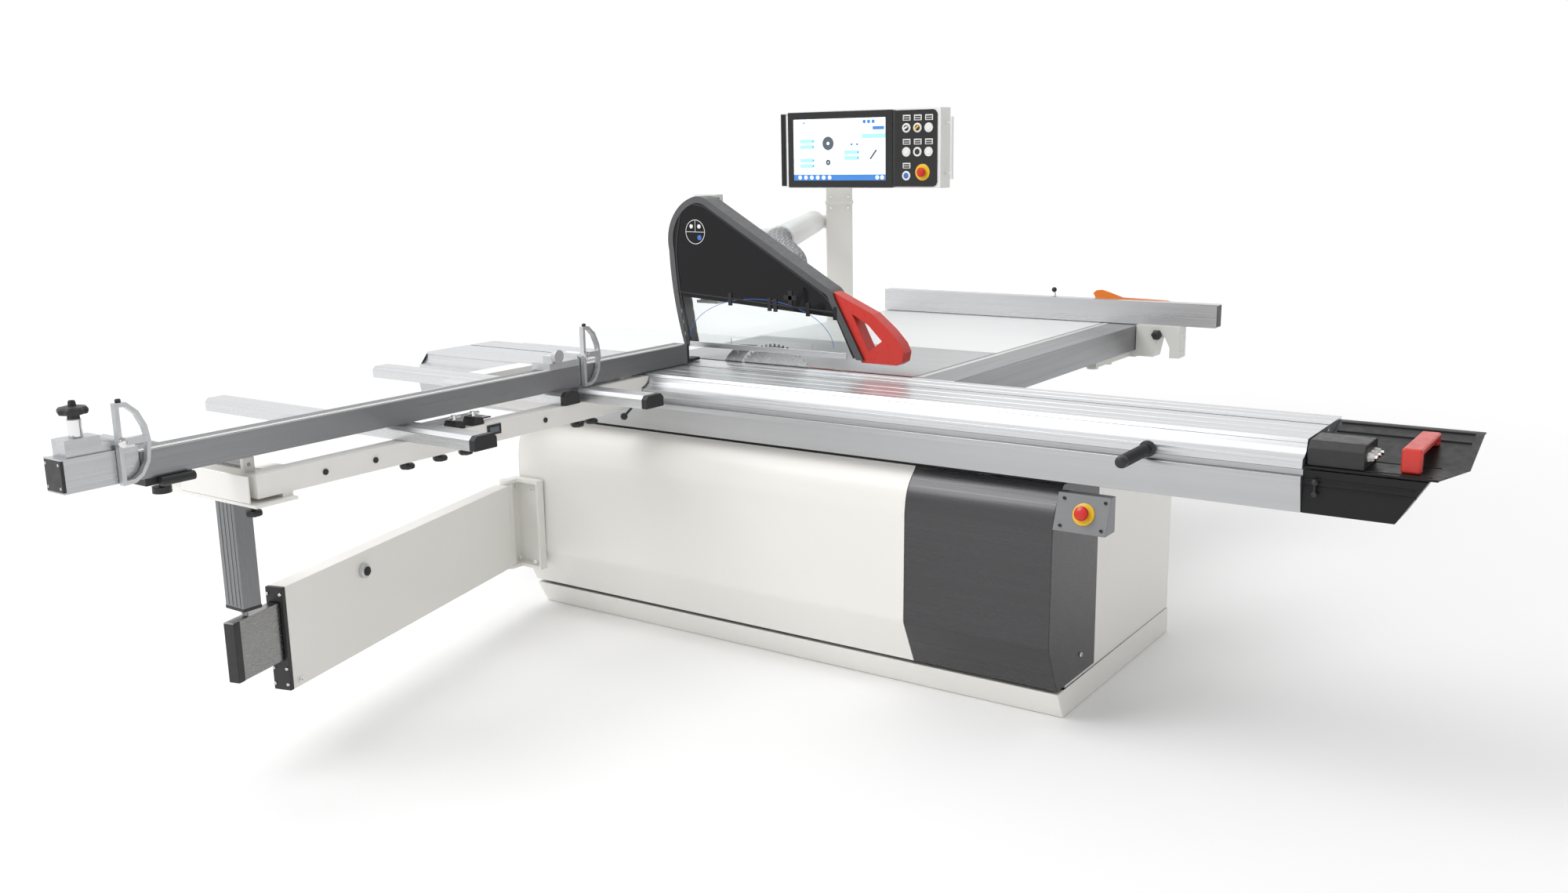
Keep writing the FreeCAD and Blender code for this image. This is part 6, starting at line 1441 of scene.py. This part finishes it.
@dataclass
class Carriage:
    """Sliding table with its black tail, control box, handles and rollers."""

    rib_radius: float = 0.0028
    top: float = 0.900
    notch: float = 0.0014
    lid_slope: float = 0.018
    tray_top: float = 0.8375
    grip_ribs: int = 90

    def build(self) -> None:
        """Dress the carriage and make the tail's details."""
        self.table()
        eased("tail_tray", TRAY_BLACK, 0.0015)
        eased("tail_handle", RED, 0.008, 4)
        dress("roller_cage", STEEL)
        self.side_grip()
        self.control_box()
        self.tail_details()
        self.end_caps()

    def notches(self, places: tuple[float, ...]) -> list[tuple[float, float]]:
        """Outline points of shallow grooves in the top at the given Y places."""
        return [point for y in places for point in (
            (y + 0.001, self.top), (y + 0.0006, self.top - self.notch),
            (y - 0.0006, self.top - self.notch), (y - 0.001, self.top))]

    def table(self) -> None:
        """Sliding table: a long extrusion with a T-slot and shallow grooves in its top.

        The section is walked once around, from the blade side over the top to the stepped
        front edge and back along the underside.
        """
        low, high = corners("carriage_table")
        top = self.top
        outline = [(-0.014, 0.893), (-0.014, top)]
        outline += self.notches((-0.046, -0.052, -0.098, -0.104))
        outline += [(-0.142, top), (-0.142, top - 0.006), (-0.137, top - 0.006),
                    (-0.137, top - 0.016), (-0.159, top - 0.016), (-0.159, top - 0.006),
                    (-0.154, top - 0.006), (-0.154, top)]
        outline += self.notches((-0.200, -0.206, -0.262, -0.268, -0.318))
        outline += [(-0.354, top), (-0.3590, 0.8905), (-0.3572, 0.8890), (-0.3615, 0.8800),
                    (-0.366, 0.870), (-0.380, 0.860), (-0.397, 0.855), (-0.3975, 0.8480),
                    (-0.3962, 0.8472), (-0.3982, 0.8405), (-0.3990, 0.832), (-0.150, 0.832),
                    (-0.110, 0.850), (-0.050, 0.884)]
        make("sliding_table", prism(outline, Axis.X, (low[0], high[0])), ALU_X,
             fit_of("carriage_table", True), 0.0005)

    def side_grip(self) -> None:
        """Push handle: ribbed black sleeve on a flanged stud, with a domed end."""
        low, high = corners("side_handle")
        x = (low[0] + high[0]) / 2
        z = (low[2] + high[2]) / 2
        root = high[1]
        length = root - low[1]
        ribs = np.linspace(0.045, length - 0.022, self.grip_ribs)
        sleeve = [(0.0208, 0.0), (0.022, 0.002), (0.022, 0.009), (0.0135, 0.012),
                  (0.0135, 0.034), (0.0155, 0.038)]
        sleeve += [(0.0164 + 0.0005 * math.cos(k * math.pi), d) for k, d in enumerate(ribs)]
        sleeve += [(0.0168, length - 0.014), (0.0145, length - 0.005), (0.009, length - 0.001),
                   (0.002, length)]
        shell = turned(sleeve, (x, root, z), (0, -1, 0), 36)
        make("push_handle", shell, BLACK, fit_of("side_handle", True))

    def control_box(self) -> None:
        """Black box with a chamfered lid, lid screws and three plated switches."""
        low, high = corners("control_box")
        slope = self.lid_slope
        outline = [(low[1], low[2]), (high[1], low[2]), (high[1], high[2] - slope * 0.3),
                   (high[1] - slope, high[2]), (low[1] + slope, high[2]),
                   (low[1], high[2] - slope)]
        make("switch_box", prism(outline, Axis.X, (low[0], high[0])), BLACK,
             fit_of("control_box", True), 0.003)
        heads = [screw((x, y, high[2]), (0, 0, 1), 0.0035)
                 for x in (low[0] + 0.014, high[0] - 0.014)
                 for y in (low[1] + slope + 0.010, high[1] - slope - 0.010)]
        for head in heads:
            head.points[:, 2] -= 0.0035
        make("box_screws", joined(heads), CHROME, Fit("carriage", "chrome"))
        switches = []
        bezels = []
        for index in range(3):
            spot = (high[0], -0.345 + index * 0.034, 0.868)
            bezels.append(turned([(0.0125, 0), (0.0125, 0.004), (0.0105, 0.006),
                                  (0.0105, 0.014), (0.0075, 0.015)], spot, (1, 0, 0), 6))
            switches.append(turned([(0.0058, 0), (0.0055, 0.012), (0.0048, 0.014),
                                    (0.0060, 0.022), (0.003, 0.024)], spot, (1, 0, 0), 20))
        make("switch_levers", joined(switches), CHROME, fit_of("tail_switches", True))
        make("switch_nuts", joined(bezels), CONSOLE_GREY, Fit("carriage", "chrome"), 0.0006)

    def tail_details(self) -> None:
        """Stiffening ribs on the tail tray and its apron."""
        low, high = corners("tail_tray")
        right = low[0] + 0.29
        left = low[0] + 0.01
        ribs = [rod((left, y, self.tray_top), (right, y, self.tray_top), self.rib_radius, 12)
                for y in (-0.37, -0.255)]
        fold = [rod((left, y, self.tray_top + (y + 0.230) * 0.2973),
                    (high[0] - 0.02, y, self.tray_top + (y + 0.230) * 0.2973),
                    self.rib_radius, 12)
                for y in (-0.10, -0.052)]
        apron = [rod((1.853, -0.3868, z), (x, -0.3868, z), 0.0022, 12)
                 for z, x in ((0.806, 2.105), (0.788, 2.112))]
        make("tray_ribs", joined(ribs + fold), TRAY_BLACK, fit_of("tail_tray"))
        make("apron_ribs", joined(apron), TRAY_BLACK, Fit("machine", "black_plastic"))

    def end_caps(self) -> None:
        """Dark end plate on the far end of the carriage and the beam."""
        far = corners("carriage_table")[0][0]
        plate = prism([(-0.355, 0.897), (-0.018, 0.897), (-0.055, 0.882), (-0.15, 0.834),
                       (-0.396, 0.834), (-0.394, 0.852)], Axis.X, (far, far + 0.002))
        make("carriage_end_plate", plate, BLACK, fit_of("tail_tray"))
        beam_far = corners("guide_beam")[0][0]
        end = cuboid((beam_far, -0.384, 0.723), (beam_far + 0.002, -0.240, 0.802))
        make("beam_end_plate", end, BLACK, Fit("machine", "black_plastic"))


@dataclass
class CrosscutFrame:
    """Outrigger frame with cross bars, knobs, readout, clamps and the support leg."""

    knob_radius: float = 0.022
    knob_height: float = 0.016
    bars: tuple[tuple[float, float, float, float], ...] = (
        (-1.184, 0.010, -1.390, 0.080), (-1.248, 0.010, -0.695, 0.080),
        (-0.800, -0.248, -0.775, 0.065))
    shoulder: float = 0.011
    knob_places: tuple[float, ...] = (-1.790, -1.371, -1.253, -1.157, -0.690, -0.625)
    plug_places: tuple[float, ...] = (-1.66, -1.50, -0.86)

    def build(self) -> None:
        """Dress the weldment and make the fittings."""
        eased("crosscut_frame", WARM_WHITE, 0.003)
        eased("support_leg", SHADED_ALU_Z, 0.003)
        dress("loading_roller", STEEL)
        self.bar_ends()
        self.knobs()
        self.lever()
        self.angle_plate()
        self.leg_grooves()

    def bar_ends(self) -> None:
        """Cross bars with sloped shoulders and black moulded caps on their near ends."""
        bars = []
        caps = []
        slope = self.shoulder
        for far, near, y, wide in self.bars:
            for pile, span, grow in ((bars, (far, near - 0.018), 0.0),
                                     (caps, (near - 0.022, near), 0.0008)):
                y0, y1 = y - grow, y + wide + grow
                pile.append(prism(
                    [(y0, 0.858), (y0, 0.887), (y0 + slope, 0.898 + grow),
                     (y1 - slope, 0.898 + grow), (y1, 0.887), (y1, 0.858)], Axis.X, span))
        make("chamfered_bars", joined(bars), ALU_X, fit_of("cross_bars", True), 0.0015)
        make("bar_end_caps", joined(caps), BLACK, Fit("crosscut_frame", "black_plastic"), 0.003)

    def knobs(self) -> None:
        """Lobed clamping knobs on short studs under the near rail."""
        shells = []
        for index, y in enumerate(self.knob_places):
            x = -0.285
            base = 0.800
            if index == 0:
                x, y, base = -0.267, -1.868, 0.782
            shells.append(lobed_knob((x, y, base - 0.009), (0, 0, -1), self.knob_radius * 0.93,
                                     self.knob_height))
            shells.append(rod((x, y, base), (x, y, base - 0.009), 0.006))
        make("clamping_knobs", joined(shells), BLACK, fit_of("frame_knobs", True))

    def lever(self) -> None:
        """Ball-ended clamp lever on its hub."""
        hub = np.array([-0.2617, -0.440, 0.820])
        way = np.array([0, -0.87, -0.49])
        middle = hub + (0.013, 0, 0)
        shells = [
            turned([(0.0075, 0), (0.009, 0.0015), (0.009, 0.0175), (0.0075, 0.019)],
                   tuple(hub), (1, 0, 0)),
            rod(tuple(middle), tuple(middle + way * 0.072), 0.004),
            ball(tuple(middle + way * 0.078), 0.0119),
        ]
        make("clamp_lever", joined(shells), BLACK, fit_of("frame_clamp_lever", True))

    def angle_plate(self) -> None:
        """Graduated plate, rail clamps, readout, rail plugs and the shelf's end flange."""
        body = "crosscut_frame"
        plate = cuboid((-0.420, -1.30, 0.8585), (-0.318, -1.02, 0.8625))
        make("angle_plate", plate, IRON, Fit(body, "dark_iron"), 0.001)
        strip = cuboid((-0.332, -1.295, 0.8624), (-0.320, -1.025, 0.8632))
        make("angle_scale", strip, SCALE_Y, Fit(body, "aluminium"))
        clamps = []
        studs = []
        for y in (-1.193, -1.121):
            clamps.append(prism([(y - 0.024, 0.8582), (y + 0.024, 0.8582), (y + 0.018, 0.878),
                                 (y - 0.012, 0.882)], Axis.X, (-0.310, -0.262)))
            studs.append(rod((-0.286, y, 0.880), (-0.286, y, 0.896), 0.008))
            studs.append(rod((-0.286, y - 0.02, 0.890), (-0.286, y + 0.024, 0.890), 0.0045))
        make("rail_clamps", joined(clamps), BLACK, Fit(body, "black_plastic"), 0.003)
        make("rail_clamp_studs", joined(studs), CHROME, Fit(body, "chrome"))
        readout = cuboid((-0.2552, -1.098, 0.822), (-0.2518, -1.044, 0.852))
        make("angle_readout", readout, BLACK, Fit(body, "black_plastic"), 0.001)
        window = cuboid((-0.2519, -1.089, 0.829), (-0.2513, -1.053, 0.845))
        make("readout_window", window, SCREEN_GREY, Fit(body, "black_plastic"))
        mark = cuboid((-0.2519, -1.0505, 0.8255), (-0.2513, -1.0475, 0.8285))
        make("readout_mark", mark, RED, Fit(body, "red_plastic"))
        posts = [rod((-0.255, y, 0.829), (-0.2515, y, 0.829), 0.008)
                 for y in self.plug_places]
        make("rail_plugs", joined(posts), BLACK, Fit(body, "black_plastic"))
        wall = cuboid((-0.55, -1.881, 0.7901), (-0.262, -1.876, 0.8600))
        make("shelf_flange", wall, WARM_WHITE, Fit(body, "frame_white"), 0.002)

    def leg_grooves(self) -> None:
        """Four long ribs on each broad face of the leg and its black foot cap."""
        low, high = corners("support_leg")
        ribs = []
        for x in np.linspace(low[0] + 0.014, high[0] - 0.014, 4):
            for y in (low[1], high[1]):
                ribs.append(cuboid((x - 0.003, y - 0.0012, low[2] + 0.012),
                                   (x + 0.003, y + 0.0012, high[2] - 0.006)))
        make("leg_ribs", joined(ribs), SHADED_ALU_Z, fit_of("support_leg"), 0.0005)
        cap = cuboid((low[0] - 0.001, low[1] - 0.001, low[2] + 0.0002),
                     (high[0] + 0.001, high[1] + 0.001, low[2] + 0.010))
        make("leg_cap", cap, BLACK, Fit("crosscut_frame", "black_plastic"), 0.002)


def fence_section(low: np.ndarray, high: np.ndarray, axis: Axis, rear: int,
                  slots: tuple[float, ...], grooves: tuple[float, ...]) -> Shell:
    """A fence extrusion: plain working face, T-slots behind it and grooves on its top.

    The section is walked once around: up the rear side with a short neck and a wider pocket
    at each slot, along the top with a shallow notch at each groove, and down the plain face.

    Args:
        low: lowest corner.
        high: highest corner.
        axis: direction of the run, X or Y.
        rear: -1 where the rear side has the lower coordinate, 1 where it has the higher.
        slots: heights of the slots above the bottom, as shares of the height.
        grooves: places of the grooves from the rear side, in metres.

    Returns:
        The closed shell.
    """
    across = Axis.Y if axis is Axis.X else Axis.X
    back, face = low[across.value], high[across.value]
    if rear > 0:
        back, face = face, back
    inward = -float(rear)
    z0, z1 = low[2], high[2]
    neck, pocket, lip, deep, notch = 0.0028, 0.0062, 0.002, 0.006, 0.0015
    outline = [(back, z0)]
    for share in slots:
        z = z0 + share * (z1 - z0)
        outline += [(back, z - neck), (back + inward * lip, z - neck),
                    (back + inward * lip, z - pocket), (back + inward * deep, z - pocket),
                    (back + inward * deep, z + pocket), (back + inward * lip, z + pocket),
                    (back + inward * lip, z + neck), (back, z + neck)]
    outline.append((back, z1))
    for place in grooves:
        u = back + inward * place
        outline += [(u, z1), (u, z1 - notch), (u + inward * notch, z1 - notch),
                    (u + inward * notch, z1)]
    outline += [(face, z1), (face, z0)]
    return prism(outline, axis, (low[axis.value], high[axis.value]))


@dataclass
class CrosscutFence:
    """Crosscut fence with scale, stops, sliding extension and fittings."""

    slots: tuple[float, ...] = (0.30, 0.72)
    grooves: tuple[float, ...] = (0.006, 0.012, 0.020, 0.0245, 0.036, 0.058)
    head_recess: float = 0.0022

    def build(self) -> None:
        """Make the fence and its fittings."""
        low, high = corners("fence_profile")
        bar = fence_section(low, high, Axis.Y, -1, self.slots, self.grooves)
        make("fence_bar", bar, SHADED_SIDE_ALU, fit_of("fence_profile", True))
        rule = cuboid((high[0] - 0.0285, low[1] + 0.002, high[2] - 0.0002),
                      (high[0] - 0.012, high[1] - 0.002, high[2] + 0.0004))
        make("fence_rule", rule, SCALE_Y, fit_of("fence_profile"))
        eased("fence_fittings", BLACK, 0.003)
        eased("fence_extension", SHADED_ALU_Y, 0.004, 3)
        eased("stop_slide", STOP_ALU, 0.003)
        eased("stop_flip_1", STOP_ALU, 0.0018)
        eased("stop_flip_2", STOP_ALU, 0.0018)
        self.wheel()
        self.head_details()
        self.stop_details()

    def wheel(self) -> None:
        """Lobed clamping wheel with its cap on the chrome post."""
        low, high = corners("extension_knob")
        x = (low[0] + high[0]) / 2
        y = (low[1] + high[1]) / 2
        rim = [(0.0128, 0), (0.0128, 0.0075), (0.020, 0.009), (0.029, 0.011), (0.0315, 0.016),
               (0.0315, 0.022), (0.028, 0.0265), (0.018, 0.0287), (0.0085, 0.029),
               (0.0078, 0.038), (0.006, 0.0412), (0.002, 0.0415)]
        wheel = turned(rim, (x, y, low[2]), (0, 0, 1), 72, 8, 0.055)
        make("extension_wheel", wheel, BLACK, fit_of("extension_knob", True))
        post = rod((x, y, 1.0225), (x, y, 1.0629), 0.0154, 32)
        make("extension_post", post, CHROME, Fit("fence_extension", "chrome"))

    def head_details(self) -> None:
        """Black end plate with four screws, let into the set-back end of the head."""
        low, _ = corners("fence_extension")
        mesh = bpy.data.objects["fence_extension_eased"].data
        spots = np.empty(len(mesh.vertices) * 3)
        mesh.vertices.foreach_get("co", spots)
        spots = spots.reshape(-1, 3)
        spots[spots[:, 1] < low[1] + 0.0005, 1] += self.head_recess
        mesh.vertices.foreach_set("co", spots.ravel())
        plate = cuboid((-0.3505, low[1] + 0.0010, 0.908), (-0.2825, low[1] + 0.0095, 0.981))
        make("head_plate", plate, BLACK, Fit("fence_extension", "black_plastic"), 0.002)
        heads = [screw((x, low[1] + 0.0034, z), (0, -1, 0), 0.0032)
                 for x in (-0.345, -0.292) for z in (0.918, 0.971)]
        make("head_screws", joined(heads), CHROME, Fit("fence_extension", "chrome"))

    def stop_details(self) -> None:
        """Turned dial, hub caps and top knobs of the flip stops."""
        dial = turned([(0.0195, 0), (0.0205, 0.002), (0.0205, 0.014), (0.019, 0.016),
                       (0.008, 0.0168), (0.006, 0.0175)], (-0.286, -0.772, 1.011), (1, 0, 0),
                      72, 36, 0.012)
        make("stop_dial", dial, STOP_ALU, Fit("stop_slide", "bright_steel"))
        for index, (body, y) in enumerate((("outer_stop", -2.180), ("inner_stop", -0.655))):
            hub = turned([(0.0105, 0), (0.0115, 0.001), (0.0115, 0.003), (0.009, 0.0045),
                          (0.003, 0.0048)], (-0.2651, y, 1.0), (1, 0, 0), 32)
            tip = turned([(0.006, 0), (0.0065, 0.0015), (0.0065, 0.007), (0.005, 0.009),
                          (0.002, 0.0095)], (-0.2735, y + 0.004, 1.0895), (0, 0, 1), 24)
            make(f"stop_hub_{index + 1}", hub, CHROME, Fit(body, "chrome"))
            make(f"stop_tip_{index + 1}", tip, BLACK, Fit(body, "black_plastic"))


@dataclass
class RipFence:
    """Rip fence extrusion on its casting, with clamp lever and push stick."""

    slots: tuple[float, ...] = (0.22, 0.62)
    grooves: tuple[float, ...] = (0.014, 0.040)

    def build(self) -> None:
        """Make the fence and what it carries."""
        low, high = corners("rip_fence_profile")
        bar = fence_section(low, high, Axis.X, 1, self.slots, self.grooves)
        make("rip_bar", bar, ALU_X, fit_of("rip_fence_profile", True))
        ends = [cuboid((x, low[1] + 0.004, low[2] + 0.004),
                       (x + 0.002, high[1] - 0.004, high[2] - 0.004))
                for x in (low[0] - 0.0012, high[0] - 0.0008)]
        make("rip_bar_ends", joined(ends), BLACK, Fit("rip_profile", "black_plastic"), 0.0005)
        eased("rip_fence_body", RIP_GREY, 0.006, 3)
        eased("push_stick", ORANGE, 0.002, 3)
        self.lever()
        self.fittings()

    def lever(self) -> None:
        """Clamp lever with a dark ball on a bright stem."""
        hub = np.array([0.300, 1.6403, 0.975])
        way = np.array([-0.25, 0.1, 0.96])
        middle = hub + (0, 0.015, 0)
        shells = [
            turned([(0.010, 0), (0.012, 0.0015), (0.012, 0.0205), (0.010, 0.022)], tuple(hub),
                   (0, 1, 0)),
            ball(tuple(middle + way * 0.046), 0.0109),
        ]
        make("rip_lever", joined(shells), BLACK, fit_of("rip_clamp_lever", True))
        stem = rod(tuple(middle), tuple(middle + way * 0.040), 0.004)
        make("rip_lever_stem", stem, CHROME, Fit(body_of("rip_clamp_lever"), "chrome"))

    def fittings(self) -> None:
        """Screws on the casting's side and the lobed knob on its front."""
        side = corners("rip_fence_body")[1][0]
        heads = [screw((side, y, z), (1, 0, 0), 0.006)
                 for y in (1.58, 1.62) for z in (0.80, 0.87)]
        for head in heads:
            head.points[:, 0] -= 0.004
        make("rip_screws", joined(heads), CHROME, Fit("rip_body", "chrome"))
        knob = lobed_knob((0.7805, 1.560, 0.868), (0, -1, 0), 0.020, 0.022)
        stem = rod((0.7805, 1.5612, 0.868), (0.7805, 1.555, 0.868), 0.006)
        make("rip_front_knob", joined([knob, stem]), BLACK, Fit("rip_body", "black_plastic"))


@dataclass
class SawUnit:
    """Blade, riving knife, scoring blade and the tilting unit in the cabinet."""

    fin_count: int = 36
    fin_half: float = 0.0012
    fin_reach: tuple[float, float] = (0.0735, 0.0825)
    fin_span: tuple[float, float] = (0.235, 0.345)

    def build(self) -> None:
        """Dress the unit's nodes and add the motor's fins."""
        for node, finish in (
            ("saw_blade", BLADE_STEEL), ("saw_arbor", STEEL), ("scoring_blade", BLADE_STEEL),
            ("riving_knife", BLADE_STEEL), ("tilt_frame", IRON), ("lift_carriage", IRON),
            ("saw_motor", MOTOR_PAINT), ("drive_belt", RUBBER),
        ):
            dress(node, finish)
        self.cooling_fins()

    def cooling_fins(self) -> None:
        """Cooling fins around the motor."""
        low, high = corners("saw_motor")
        centre_z = (low[2] + high[2]) / 2
        fins = []
        for angle in np.linspace(0, 2 * math.pi, self.fin_count, endpoint=False):
            way = np.array([math.cos(angle), 0, math.sin(angle)])
            side = np.array([-way[2], 0, way[0]]) * self.fin_half
            inner = way * self.fin_reach[0] + (0, 0, centre_z)
            outer = way * self.fin_reach[1] + (0, 0, centre_z)
            stack = np.array([[inner - side, outer - side, outer + side, inner + side]] * 2)
            stack[0, :, 1], stack[1, :, 1] = self.fin_span
            fins.append(rings(stack))
        make("motor_fins", joined(fins), MOTOR_PAINT, Fit("lift_unit", "motor_grey"))


@dataclass
class SwingArm:
    """Swinging support arm with its end plate, bumper and inner slide."""

    heading: float = 15.57
    hinge: Point = (-0.833, -0.487, 0.0)
    bumper: tuple[float, float, float] = (0.88, 0.0275, 0.425)

    def along(self, distance: float, across: float, z: float) -> Point:
        """A point at a distance from the hinge along the arm and off its middle."""
        a = math.radians(self.heading)
        way = np.array([math.sin(a), -math.cos(a), 0])
        side = np.array([math.cos(a), math.sin(a), 0])
        spot = np.array(self.hinge) + way * distance + side * across + (0, 0, z)
        return tuple(spot)

    def build(self) -> None:
        """Dress the arm and add bumper, screws and the slide's cap."""
        eased("swing_arm", WARM_WHITE, 0.004, 3)
        eased("arm_end_plate", BLACK, 0.002)
        eased("inner_arm", STEEL, 0.002)
        a = math.radians(self.heading)
        side = (math.cos(a), math.sin(a), 0.0)
        ring = turned([(0.020, 0), (0.0215, 0.002), (0.0215, 0.012), (0.018, 0.015),
                       (0.014, 0.0155)], self.along(*self.bumper), side, 40)
        pad = turned([(0.0138, 0.010), (0.0138, 0.018), (0.011, 0.0205), (0.003, 0.021)],
                     self.along(*self.bumper), side, 32)
        make("arm_bumper_ring", ring, STOP_ALU, Fit("swing_arm", "bright_steel"))
        make("arm_bumper_pad", pad, RUBBER, Fit("swing_arm", "belt_rubber"))
        heads = [screw(self.along(1.196, 0.0273, 0.205), side, 0.007)]
        ahead = (math.sin(a), -math.cos(a), 0.0)
        heads += [screw(self.along(1.2355, off, z), ahead, 0.0045)
                  for off in (-0.021, 0.021) for z in (0.205, 0.250, 0.463)]
        make("arm_screws", joined(heads), CHROME, Fit("swing_arm", "chrome"))
        outline = [self.along(distance, across, 0)[:2] for distance, across in (
            (1.392, -0.0172), (1.392, 0.0172), (1.4162, 0.0172), (1.4162, -0.0172))]
        make("inner_arm_cap", prism(outline, Axis.Z, (0.2742, 0.4399)), BLACK,
             Fit("swing_extension", "black_plastic"), 0.003)


@dataclass
class CarriageLock:
    """Small ball-ended lever that locks the sliding table."""

    height: float = 0.772
    reach: float = 0.030

    def build(self) -> None:
        """Hub, stem and ball in one piece."""
        low, high = corners("stop_lever")
        x = (low[0] + high[0]) / 2
        y = high[1]
        shells = [
            turned([(0.006, 0), (0.007, 0.001), (0.007, 0.015), (0.006, 0.016)],
                   (x, y, self.height), (0, -1, 0)),
            rod((x, y - 0.012, self.height), (x, y - 0.012, self.height + self.reach - 0.004),
                0.003),
            ball((x, y - 0.012, self.height + self.reach), 0.0089),
        ]
        make("lock_lever", joined(shells), BLACK, fit_of("stop_lever", True))


ASSEMBLIES = (
    Studio, Base, Tables, Hose, Guard, Console, BaseStop, Carriage, CrosscutFrame,
    CrosscutFence, RipFence, SawUnit, SwingArm, CarriageLock,
)


def main() -> None:
    """Build every sub-assembly in order and log each one's name."""
    logging.basicConfig(level=logging.INFO, format="%(message)s")
    for assembly in ASSEMBLIES:
        LOG.info("building %s", assembly.__name__)
        assembly().build()


if __name__ == "__main__":
    main()
